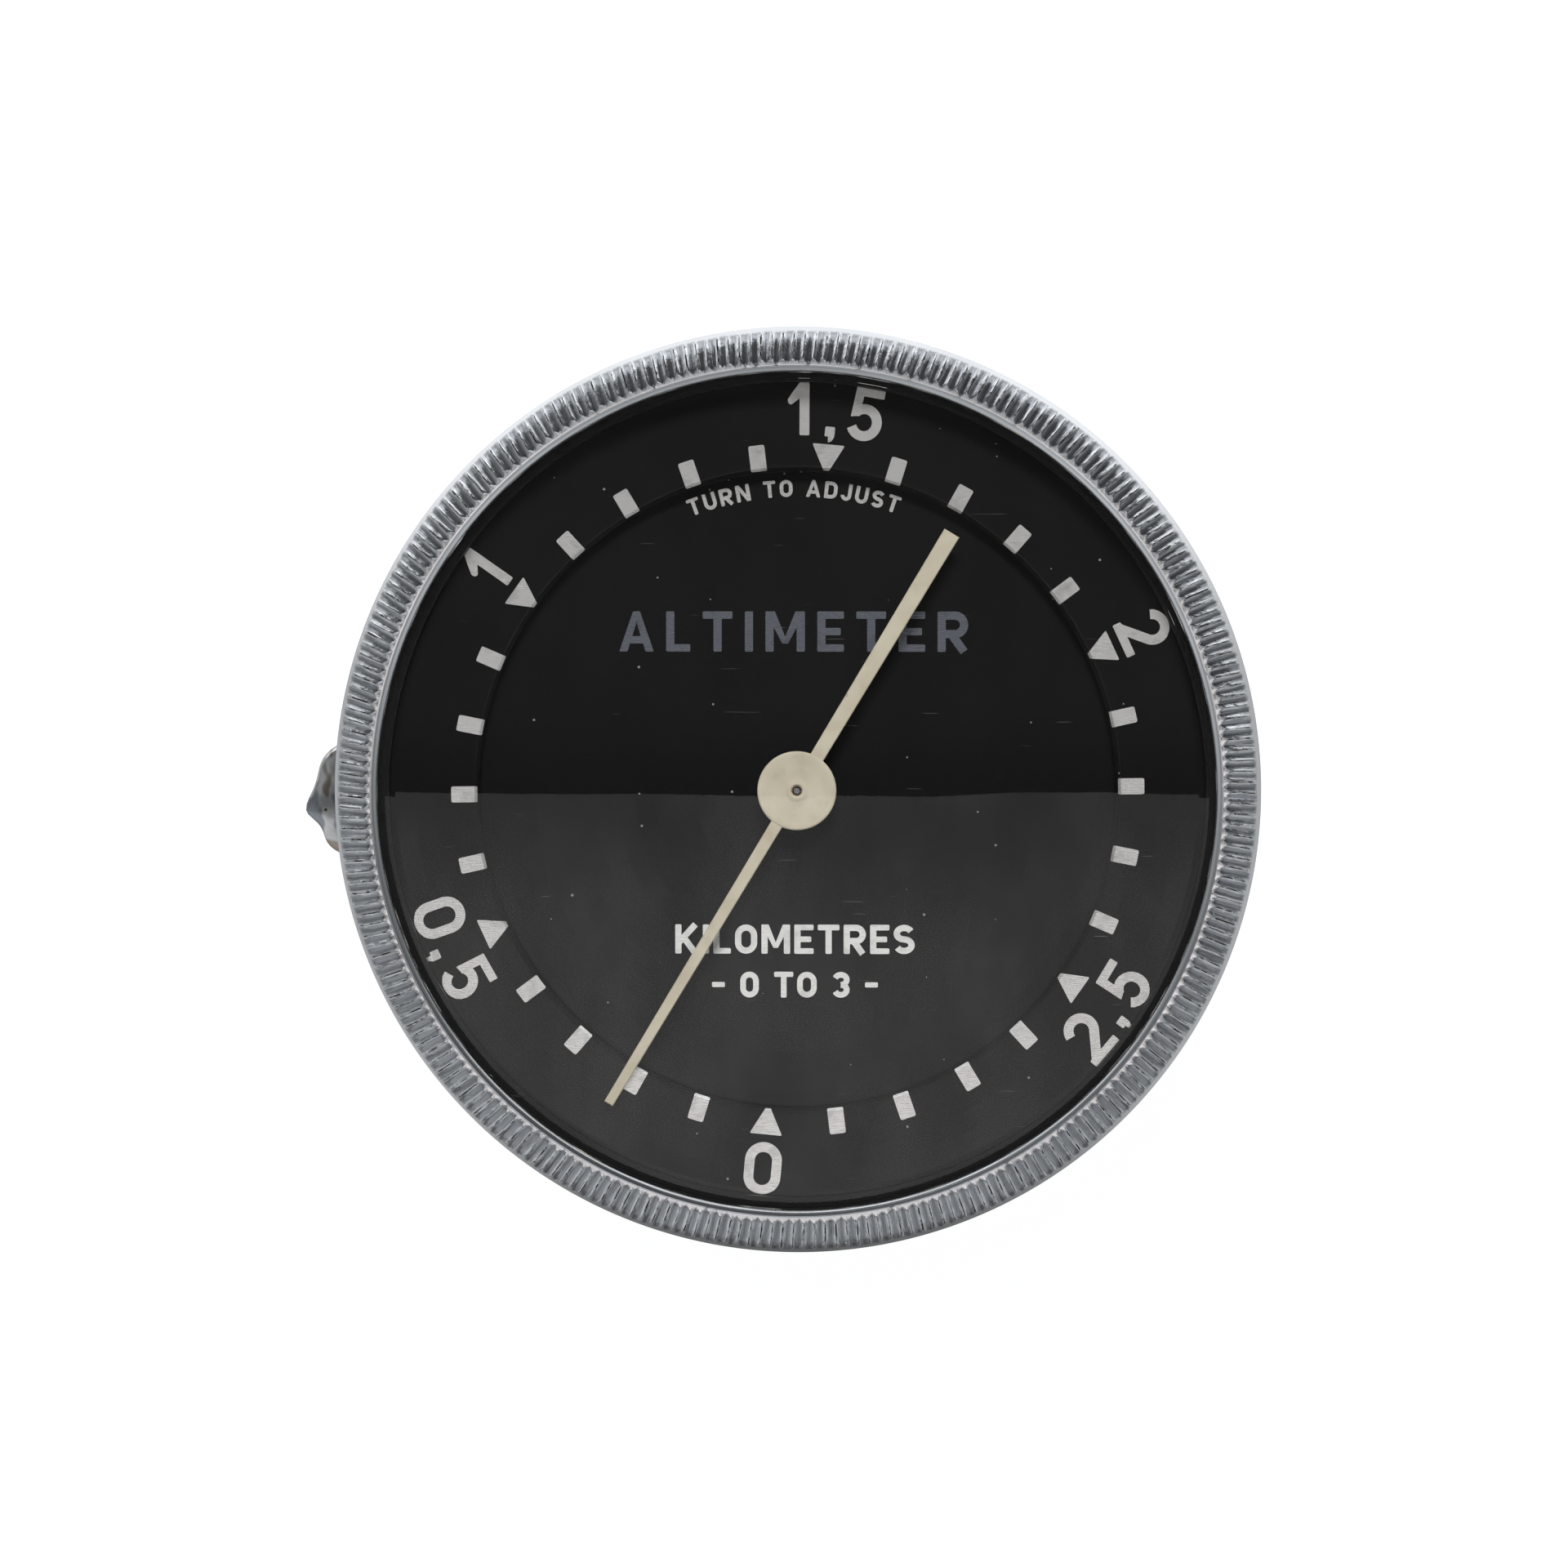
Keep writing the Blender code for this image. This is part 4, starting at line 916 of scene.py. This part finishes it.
def make_crystal():
    """The slightly domed crystal, with a bevel round its rim."""
    low, high = extent("crystal")
    outer = high.x
    thickness = high.z - low.z - CRYSTAL_RISE
    steps = 20
    radii = [(outer - CRYSTAL_DOME_INSET) * i / steps for i in range(steps + 1)]
    top = [(r, high.z - CRYSTAL_RISE * (r / outer) ** 2) for r in radii]
    rim = top[-1][1]
    bottom = [(r, z - thickness) for r, z in reversed(top)]
    bevel_r, seat_r = (outer - inset for inset in CRYSTAL_BEVEL_INSETS)
    seat = rim - (seat_r - bevel_r) * math.tan(CRYSTAL_BEVEL_ANGLE)
    edge = [
        (bevel_r, rim),
        (seat_r, seat),
        (outer - 0.1, seat),
        (outer, seat - 0.1),
        (outer, low.z + 0.15),
        (outer - 0.15, rim - thickness),
    ]
    profile = top + edge + bottom
    turned_piece("domed_crystal", profile, "bezel", glass, "crystal", ROUND_STEPS, 15)


def make_keepers():
    """The crystal's gasket, and the rings that keep the crystal and the scale ring in."""
    for name, cad, width, finish in (
        ("gasket_ring", "crystal_gasket", 1.1, rubber),
        ("crystal_keeper", "crystal_retainer", 1.75, inner_black),
        ("ring_keeper", "ring_retainer", 0.9, spring_steel),
    ):
        low, high = extent(cad)
        profile = ring_profile(high.x - width, high.x, low.z, high.z, 0.06)
        turned_piece(name, profile, "bezel", finish, cad)


# ---- lettering ----

def stroke(points, width):
    """The outline of a stroke of even width along a line of points, with square ends."""
    line = [Vector(point) for point in points]
    left, right = [], []
    for i, point in enumerate(line):
        before = line[max(i - 1, 0)]
        after = line[min(i + 1, len(line) - 1)]
        first = (point - before).normalized() if i > 0 else (after - point).normalized()
        second = (after - point).normalized() if i < len(line) - 1 else first
        along = (first + second).normalized()
        side = Vector((-along.y, along.x))
        stretch = 1 / max(0.5, along.dot(first))
        left.append(tuple(point + side * width / 2 * stretch))
        right.append(tuple(point - side * width / 2 * stretch))
    return left + right[::-1]


def bar(x0, y0, x1, y1):
    """A box outline between two corners, its corners softened."""
    return round_corners([(x0, y0), (x1, y0), (x1, y1), (x0, y1)], 0.09, 2)


def glyph(char, h, w, s):
    """Outlines of a plain grotesque character of a height, a width and a stroke width."""
    a, b, m = s / 2, w - s / 2, h / 2
    ry = (h - s) / 4
    rx = (w - s) / 2
    thin = s * 0.9
    stem = bar(0, 0, s, h)
    right_stem = bar(w - s, 0, w, h)
    top_bar = bar(0, h - thin, w, h)
    base_bar = bar(0, 0, w, thin)
    if char == "A":
        left = [(0, 0), (s, 0), (w / 2 + s * 0.42, h), (w / 2 - s * 0.42, h)]
        right = [(w - x, y) for x, y in left]
        cross = bar(w * 0.2, h * 0.2, w * 0.8, h * 0.2 + thin)
        return [round_corners(left, 0.07, 2), round_corners(right, 0.07, 2), cross]
    if char == "D":
        bow = min(rx, (h - s) / 2)
        bowl = [(a, h - a)] + ellipse_arc((b - bow, h - a - bow), (bow, bow), 90, 0, 8)
        bowl += ellipse_arc((b - bow, a + bow), (bow, bow), 0, -90, 8) + [(a, a)]
        return [stem, stroke(bowl, s)]
    if char == "E":
        return [stem, top_bar, base_bar, bar(0, m - thin / 2, w * 0.88, m + thin / 2)]
    if char == "I":
        return [stem]
    if char == "J":
        hook = [(b, h)] + ellipse_arc((w / 2, a + rx), (rx, rx), 0, -180, 12)
        return [stroke(hook, s)]
    if char == "K":
        arm = stroke([(a, h * 0.36), (b, h)], s)
        leg = stroke([(w * 0.36, h * 0.56), (b, 0)], s)
        return [stem, arm, leg]
    if char == "L":
        return [stem, base_bar]
    if char == "M":
        dip = h * 0.2
        left = [(0, h), (s * 1.15, h), (w / 2 + s * 0.35, dip), (w / 2 - s * 0.35, dip)]
        right = [(w - x, y) for x, y in left]
        return [stem, right_stem, left, right]
    if char == "N":
        return [stem, right_stem, [(0, h), (s * 1.1, h), (w, 0), (w - s * 1.1, 0)]]
    if char in "O0":
        upper = ellipse_arc((w / 2, h - a - rx), (rx, rx), 0, 180, 16)
        lower = ellipse_arc((w / 2, a + rx), (rx, rx), 180, 360, 16)
        return [stroke([(b, m)] + upper + [(a, m)], s), stroke([(a, m)] + lower + [(b, m)], s)]
    if char == "R":
        level = h * 0.44
        radius = (h - a - level) / 2
        arc = ellipse_arc((b - radius, h - a - radius), (radius, radius), 90, -90, 12)
        bowl = stroke([(a, h - a)] + arc + [(a, level)], s)
        return [stem, bowl, stroke([(w * 0.45, level), (b, 0)], s * 1.02)]
    if char == "S":
        upper = ellipse_arc((w / 2, h - a - ry), (rx, ry), 25, 270, 16)
        lower = ellipse_arc((w / 2, a + ry), (rx, ry), 90, -155, 16)
        return [stroke(upper + lower[1:], s)]
    if char == "T":
        return [top_bar, bar(w / 2 - a, 0, w / 2 + a, h)]
    if char == "U":
        hook = ellipse_arc((w / 2, a + rx), (rx, rx), 180, 360, 16)
        return [stroke([(a, h)] + hook + [(b, h)], s)]
    if char == "1":
        root = w - s * 0.8
        flag = [(w - s, h), (0, h * 0.67), (w * 0.03, h * 0.6), (w * 0.16, h * 0.57)]
        flag += [(root, h * 0.72), (root, h)]
        return [right_stem, round_corners(flag, 0.1, 3)]
    if char == "2":
        crown = ellipse_arc((w / 2, h - a - rx), (rx, rx), 165, -38, 18)
        return [stroke(crown + [(a + s * 0.1, thin * 0.6)], s), base_bar]
    if char == "3":
        upper = ellipse_arc((w / 2, h - a - ry), (rx, ry), 160, -90, 14)
        lower = ellipse_arc((w / 2, a + ry), (rx, ry), 90, -160, 14)
        return [stroke(upper, s), stroke(lower, s)]
    if char == "5":
        bow = rx * 1.06
        bowl = ellipse_arc((w / 2, a + bow), (rx, bow), 140, -155, 18)
        foot = w * 0.1
        head = w * 0.14
        right = s * 0.85
        back = [(foot, h * 0.42), (foot + right, h * 0.46), (w * 0.16 + right, h), (head, h)]
        return [stroke(bowl, s), round_corners(back, 0.06, 2), bar(head, h - thin, w * 0.95, h)]
    if char == ",":
        tail = [(w * 0.35, 0), (w, 0), (w * 0.75, -h * 0.45), (w * 0.4, -h * 0.6)]
        return [bar(0, 0, w, h), tail]
    return [bar(0, m - thin / 2, w, m + thin / 2)]


# Widths as shares of the height; 0 is a single stem.
WIDTHS = {
    "A": 0.86, "D": 0.76, "E": 0.66, "I": 0.0, "J": 0.62, "K": 0.8, "L": 0.6, "M": 0.98, "N": 0.82,
    "O": 0.76, "R": 0.76, "S": 0.72, "T": 0.74, "U": 0.76, "0": 0.72, "3": 0.68, "-": 0.5,
}


def centred_glyph(char, height, width, stroke_width):
    """A character drawn about its own centre."""
    outlines = glyph(char, height, width, stroke_width)
    return [[(x - width / 2, y - height / 2) for x, y in outline] for outline in outlines]


def spread(text, height, span, stroke_width, space):
    """The glyphs of a line of text spread over a span, each with its middle from the start."""
    sizes = []
    for char in text:
        share = space if char == " " else WIDTHS[char]
        sizes.append(share * height if char == " " else max(share * height, stroke_width))
    gap = (span - sum(sizes)) / (len(text) - 1)
    along = 0
    placed = []
    for char, size in zip(text, sizes):
        if char != " ":
            placed.append((along + size / 2, centred_glyph(char, height, size, stroke_width)))
        along += size + gap
    return placed


def line_of_text(text, centre, height, width, stroke_width, space=0.5):
    """A straight line of text about a centre."""
    outlines = []
    for along, shapes in spread(text, height, width, stroke_width, space):
        x0 = centre[0] - width / 2 + along
        outlines += [[(x0 + x, centre[1] + y) for x, y in shape] for shape in shapes]
    return outlines


def arc_text(text, height, radius, half_angle, stroke_width):
    """Text along an arc about twelve o'clock, its tops outwards."""
    span = 2 * math.radians(half_angle) * radius
    outlines = []
    for along, shapes in spread(text, height, span, stroke_width, 0.35):
        clock = ARC_MIDDLE + math.degrees((along - span / 2) / radius)
        outlines += on_clock(shapes, clock, radius)
    return outlines


def on_clock(outlines, clock, radius, flipped=False):
    """Stand outlines, drawn about the origin with +Y up, on the clock at a radius."""
    turn = -math.radians(clock) + (math.pi if flipped else 0)
    cos, sin = math.cos(turn), math.sin(turn)
    x0, y0 = polar(radius, 90 - clock)
    return [
        [(x0 + x * cos - y * sin, y0 + x * sin + y * cos) for x, y in outline]
        for outline in outlines
    ]


def ring_numerals():
    """The numerals 0 to 2,5: the lower ones stand with their tops towards the centre."""
    inner, outer = NUMERAL_R
    height = outer - inner
    outlines = []
    for char, clock, width, flipped in (
        ("0", 185.2, 2.72, True),
        ("0", 250.3, 2.72, True),
        ("5", 240.4, 2.6, True),
        ("1", 305.0, 1.6, False),
        ("1", 0.2, 1.6, False),
        ("5", 10.3, 2.6, False),
        ("2", 65.2, 2.6, False),
        ("2", 130.2, 2.6, True),
        ("5", 120.7, 2.6, True),
    ):
        shapes = centred_glyph(char, height, width, NUMERAL_STROKE)
        outlines += on_clock(shapes, clock, (inner + outer) / 2, flipped)
    comma = centred_glyph(",", COMMA_SIZE, COMMA_SIZE, COMMA_SIZE)
    flipped_r = outer - COMMA_SIZE / 2 - FLIPPED_COMMA_INSET
    outlines += on_clock(comma, 5.2, inner + COMMA_SIZE / 2)
    outlines += on_clock(comma, 245.4, flipped_r, True)
    outlines += on_clock(comma, 125.4, flipped_r, True)
    return outlines


def ring_marks(bevel_r):
    """A triangle at each half kilometre and a tick at each other tenth.

    Each mark is drawn in two pieces that meet at the start of the ring's bevel.
    """
    outlines = []
    half = TICK_WIDTH / 2
    tip = TRIANGLE_TIP / 2
    base = TRIANGLE_BASE / 2
    split = bevel_r - MARK_INNER_R
    length = MARK_OUTER_R - MARK_INNER_R
    at_split = tip + (base - tip) / length * split
    corner = 0.06
    tick_foot = [(-half + corner, 0), (half - corner, 0), (half, 0.07)]
    tick_foot += [(half, split), (-half, split), (-half, 0.07)]
    tick_head = [(-half, split), (half, split), (half, length), (-half, length)]
    triangle_foot = [(-tip, 0), (tip, 0), (at_split, split), (-at_split, split)]
    triangle_head = [(-at_split, split), (at_split, split), (base, length), (-base, length)]
    for number in range(30):
        foot, head = (tick_foot, tick_head) if number % 5 else (triangle_foot, triangle_head)
        clock = ZERO_CLOCK + STEP_CLOCK * number
        outlines += on_clock([foot, soft_outer_corners(head)], clock, MARK_INNER_R)
    return outlines


def soft_outer_corners(quad, radius=0.16, steps=4):
    """Round the last two corners of a quad, and leave its first two sharp."""
    rounded = round_corners(quad, radius, steps)
    return quad[:2] + rounded[2 * (steps + 1):]


# ---- dial, ring and needle ----

def make_scale_ring():
    """The black ring that turns with the bezel, and its marks of bare metal."""
    low, high = extent("scale_ring")
    outer = high.x
    bevel_r = RING_BORE_R + RING_BEVEL
    corners = [
        (outer, high.z),
        (outer, low.z),
        (RING_BORE_R, low.z),
        (RING_BORE_R, high.z - RING_BEVEL),
        (bevel_r, high.z),
    ]
    profile = round_corners(corners, 0.05, 3)
    turned_piece("numbered_ring", profile, "bezel", ring_lacquer, "scale_ring")

    mesh = raised("ring_marks", ring_numerals() + ring_marks(bevel_r), high.z)
    for vert in mesh.vertices:
        radius = math.hypot(vert.co.x, vert.co.y) / MM
        vert.co.z -= max(0.0, bevel_r - radius) * MM
    mesh.set_sharp_from_angle(angle=math.radians(15))
    add_piece("ring_marks", mesh, "bezel", mark_metal)


def make_dial():
    """The fixed black dial with its lettering."""
    low, high = extent("dial_plate")
    profile = ring_profile(1.2, high.x, low.z, high.z, 0.05)
    turned_piece("black_dial", profile, "case", lacquer, "dial_plate")

    title = line_of_text("ALTIMETER", (-0.3, 11.6), height=2.95, width=25.6, stroke_width=0.6)
    arc_line = arc_text("TURN TO ADJUST", 1.25, radius=22.1, half_angle=20.5, stroke_width=0.27)
    unit = line_of_text("KILOMETRES", (-0.2, -11.0), height=2.15, width=17.6, stroke_width=0.46)
    scale_range = line_of_text("- 0 TO 3 -", (-0.2, -14.35), 1.9, 12.2, 0.42, space=0.3)
    for name, outlines, finish in (
        ("dial_title", title, title_metal),
        ("dial_arc_text", arc_line, mark_metal),
        ("dial_unit_text", unit + scale_range, text_metal),
    ):
        add_piece(name, raised(name, outlines, high.z), "case", finish)


def add_blade(work, blade, low, high, turn):
    """A tapered blade with eased long edges, along +Y and turned about the axis."""
    length, near_half, far_half = blade
    cos, sin = math.cos(turn), math.sin(turn)
    ease = BLADE_EASE
    made = []
    for inset, z in ((ease, low), (0, low + ease), (0, high - ease), (ease, high)):
        near, far, end = near_half - inset, far_half - inset, length - inset
        ring = [(near, BLADE_START), (far, end), (-far, end), (-near, BLADE_START)]
        points = [(x * cos - y * sin, x * sin + y * cos, z) for x, y in ring]
        made.append([work.verts.new(point) for point in points])
    for lower, upper in zip(made, made[1:]):
        for i in range(4):
            j = (i + 1) % 4
            work.faces.new((lower[i], lower[j], upper[j], upper[i]))
    work.faces.new(made[0])
    work.faces.new(made[-1])


def make_needle():
    """The two-ended needle with its dished hub, pointing at its rest bearing."""
    low, high = extent("needle")
    work = bmesh.new()
    add_blade(work, NEEDLE_HEAD, low.z, high.z, -NEEDLE_BEARING)
    add_blade(work, NEEDLE_TAIL, low.z, high.z, math.pi - NEEDLE_BEARING)
    add_piece("needle_blades", finish_mesh("needle_blades", work, 30), "needle", cream, "needle")

    floor = high.z - HUB_DISH
    hub = [
        (HUB_R - 0.12, low.z),
        (HUB_R, low.z + 0.08),
        (HUB_R, high.z - 0.02),
        (HUB_R - 0.12, high.z + 0.05),
        (HUB_R - 0.35, high.z + 0.04),
        (HUB_R * 0.66, high.z - HUB_DISH * 0.55),
        (HUB_R * 0.4, floor),
        (0.85, floor + 0.01),
        (0.66, high.z - 0.01),
        (0.5, high.z + 0.02),
        (HUB_HOLE_R, high.z - 0.05),
        (HUB_HOLE_R, low.z),
    ]
    mesh = revolve("needle_hub", round_corners(hub, 0.12, 3), ROUND_STEPS, 50)
    add_piece("needle_hub", mesh, "needle", cream)


# ---- studio ----

def stage_quad(name, x_span, y_span, height, finish):
    """A level rectangle of the studio."""
    x0, x1 = x_span
    y0, y1 = y_span
    corners = [(x0, y0), (x1, y0), (x1, y1), (x0, y1)]
    mesh = bpy.data.meshes.new(name)
    mesh.from_pydata([(x * MM, y * MM, height * MM) for x, y in corners], [], [(0, 1, 2, 3)])
    mesh.materials.append(finish)
    obj = link_object(name, mesh)
    return obj


def make_card(name, x_span, y_span, near_level, far_level):
    """A card that glossy faces mirror, with one level at CARD_EDGE_Y and one away from it."""
    made, tree, _ = new_material(name)
    along = parts_of(place_coordinates(tree))[1]
    away = maths("ABSOLUTE", plus(along, -CARD_EDGE_Y * MM))
    level = remap(away, 0.0, CARD_FADE * MM, near_level, far_level)
    streaky = pattern(tree, 8.0, stretch=(2.2, 1, 1), turn=0.25)
    level = times(level, remap(streaky, 0.3, 0.7, 0.72, 1.28))
    show(emission(tree, (1.0, 0.965, 0.96, 1), level))
    obj = stage_quad(name, x_span, y_span, CARD_HEIGHT, made)
    obj.visible_camera = False


def sunlit_side(share, levels):
    """A level that runs from the six o'clock side, over the sides, to the twelve o'clock side."""
    dark, side, bright = levels
    low = remap(share, -1.05, -0.6, dark, side)
    high = remap(share, 0.1, 0.85, 0.0, bright - side)
    return plus(low, high)


def make_floor():
    """A white floor. To the metal it mirrors as a pool of light that dies away outwards."""
    made, tree, shader = new_material("floor_white")
    wire_up(shader, Base_Color=grey(0.9), Roughness=0.9)
    seen = mix_shaders(0.75, shader.outputs[0], emission(tree, grey(1.0), 1.25))

    inputs = {0: node(tree, "ShaderNodeTexCoord").outputs["Object"]}
    flat = step("ShaderNodeVectorMath", inputs, operation="LENGTH").outputs["Value"]
    direction = step("ShaderNodeVectorMath", inputs, operation="NORMALIZE").outputs[0]
    share = parts_of(direction)[1]
    pool = sunlit_side(share, FLOOR_LEVELS)
    glow = times(pool, remap(flat, 0.25, 0.9, 1.0, 0.25))
    bounce = emission(tree, (0.95, 0.98, 1.0, 1), glow)
    show(mix_shaders(is_ray(tree, "Camera"), bounce, seen))
    span = (-FLOOR_HALF_SIZE, FLOOR_HALF_SIZE)
    stage_quad("floor", span, span, -FLOOR_DROP, made)


def make_world():
    """A soft room: bright beyond twelve o'clock, dim towards six and along the horizon."""
    world = bpy.data.worlds.new("studio")
    bpy.context.scene.world = world
    world.use_nodes = True
    tree = world.node_tree
    tree.nodes.clear()
    direction = node(tree, "ShaderNodeTexCoord").outputs["Generated"]
    across, along, height = parts_of(direction)
    ceiling = sunlit_side(times(along, 3.2), CEILING_LEVELS)
    overhead = times(ceiling, remap(height, 0.905, 0.955))
    low_down = remap(height, 0.29, 0.17)
    window = times(times(remap(along, 0.2, 0.95), low_down), WINDOW_LEVEL)
    walls = remap(along, 0.9, -0.5, *WALL_LEVELS)
    walls = plus(walls, remap(across, 1.0, -1.0, -0.03, 0.05))
    walls = times(walls, remap(height, 0.6, 0.8, 1.0, 0.45))
    sideways = times(maths("ABSOLUTE", across), remap(along, 0.15, -0.85))
    walls = plus(walls, times(sideways, CORNER_LEVEL))
    glow = plus(plus(overhead, window), walls)
    soft, white = (
        node(tree, "ShaderNodeBackground", {"Color": colour, "Strength": level}).outputs[0]
        for colour, level in (((0.93, 0.97, 1.0, 1), glow), (grey(1.0), BACKDROP_LEVEL))
    )
    mixed = mix_shaders(is_ray(tree, "Camera"), soft, white)
    step("ShaderNodeOutputWorld", {"Surface": mixed})


def make_lamp():
    """A soft area lamp aimed at the instrument, which its metal doesn't mirror."""
    lamp = bpy.data.lights.new("key", "AREA")
    lamp.shape = "RECTANGLE"
    lamp.size, lamp.size_y = (value * MM for value in LAMP_SIZE)
    lamp.energy = LAMP_POWER
    obj = link_object("key", lamp)
    obj.location = Vector(LAMP_PLACE) * MM
    obj.rotation_euler = (-Vector(LAMP_PLACE)).to_track_quat("-Z", "Y").to_euler()
    obj.visible_glossy = False


def make_camera():
    """The camera, a little right of and above the instrument's axis."""
    top = extent("bezel")[1].z
    target = Vector((*TARGET, top))
    eye = target + DISTANCE * Vector((math.tan(LEAN_RIGHT), math.tan(LEAN_UP), 1))
    camera = bpy.data.cameras.new("camera")
    camera.sensor_width = SENSOR
    camera.lens = SENSOR * (eye - target).length / FIELD_WIDTH
    back = (eye - target).normalized()
    right = Vector((0, 1, 0)).cross(back).normalized()
    up = back.cross(right)
    obj = link_object("camera", camera)
    obj.location = eye * MM
    obj.rotation_euler = Matrix((right, up, back)).transposed().to_euler()
    bpy.context.scene.camera = obj


# ---- assembly ----

make_camera()
make_case()
make_back()
make_lug()
make_bezel()
make_crystal()
make_keepers()
make_scale_ring()
make_dial()
make_needle()

for name, obj in frame["nodes"].items():
    if not obj.hide_render:
        obj.data.materials.clear()
        obj.data.materials.append(carried_finish[slot_of[name]])

make_floor()
make_world()
make_card("grey_card", (-450, 450), (-420, CARD_EDGE_Y), 0.6, 0.78)
make_card("dark_card", (-260, 220), (CARD_EDGE_Y, 140), 0.014, 0.1)
make_lamp()
bpy.context.scene.view_settings.view_transform = "Standard"
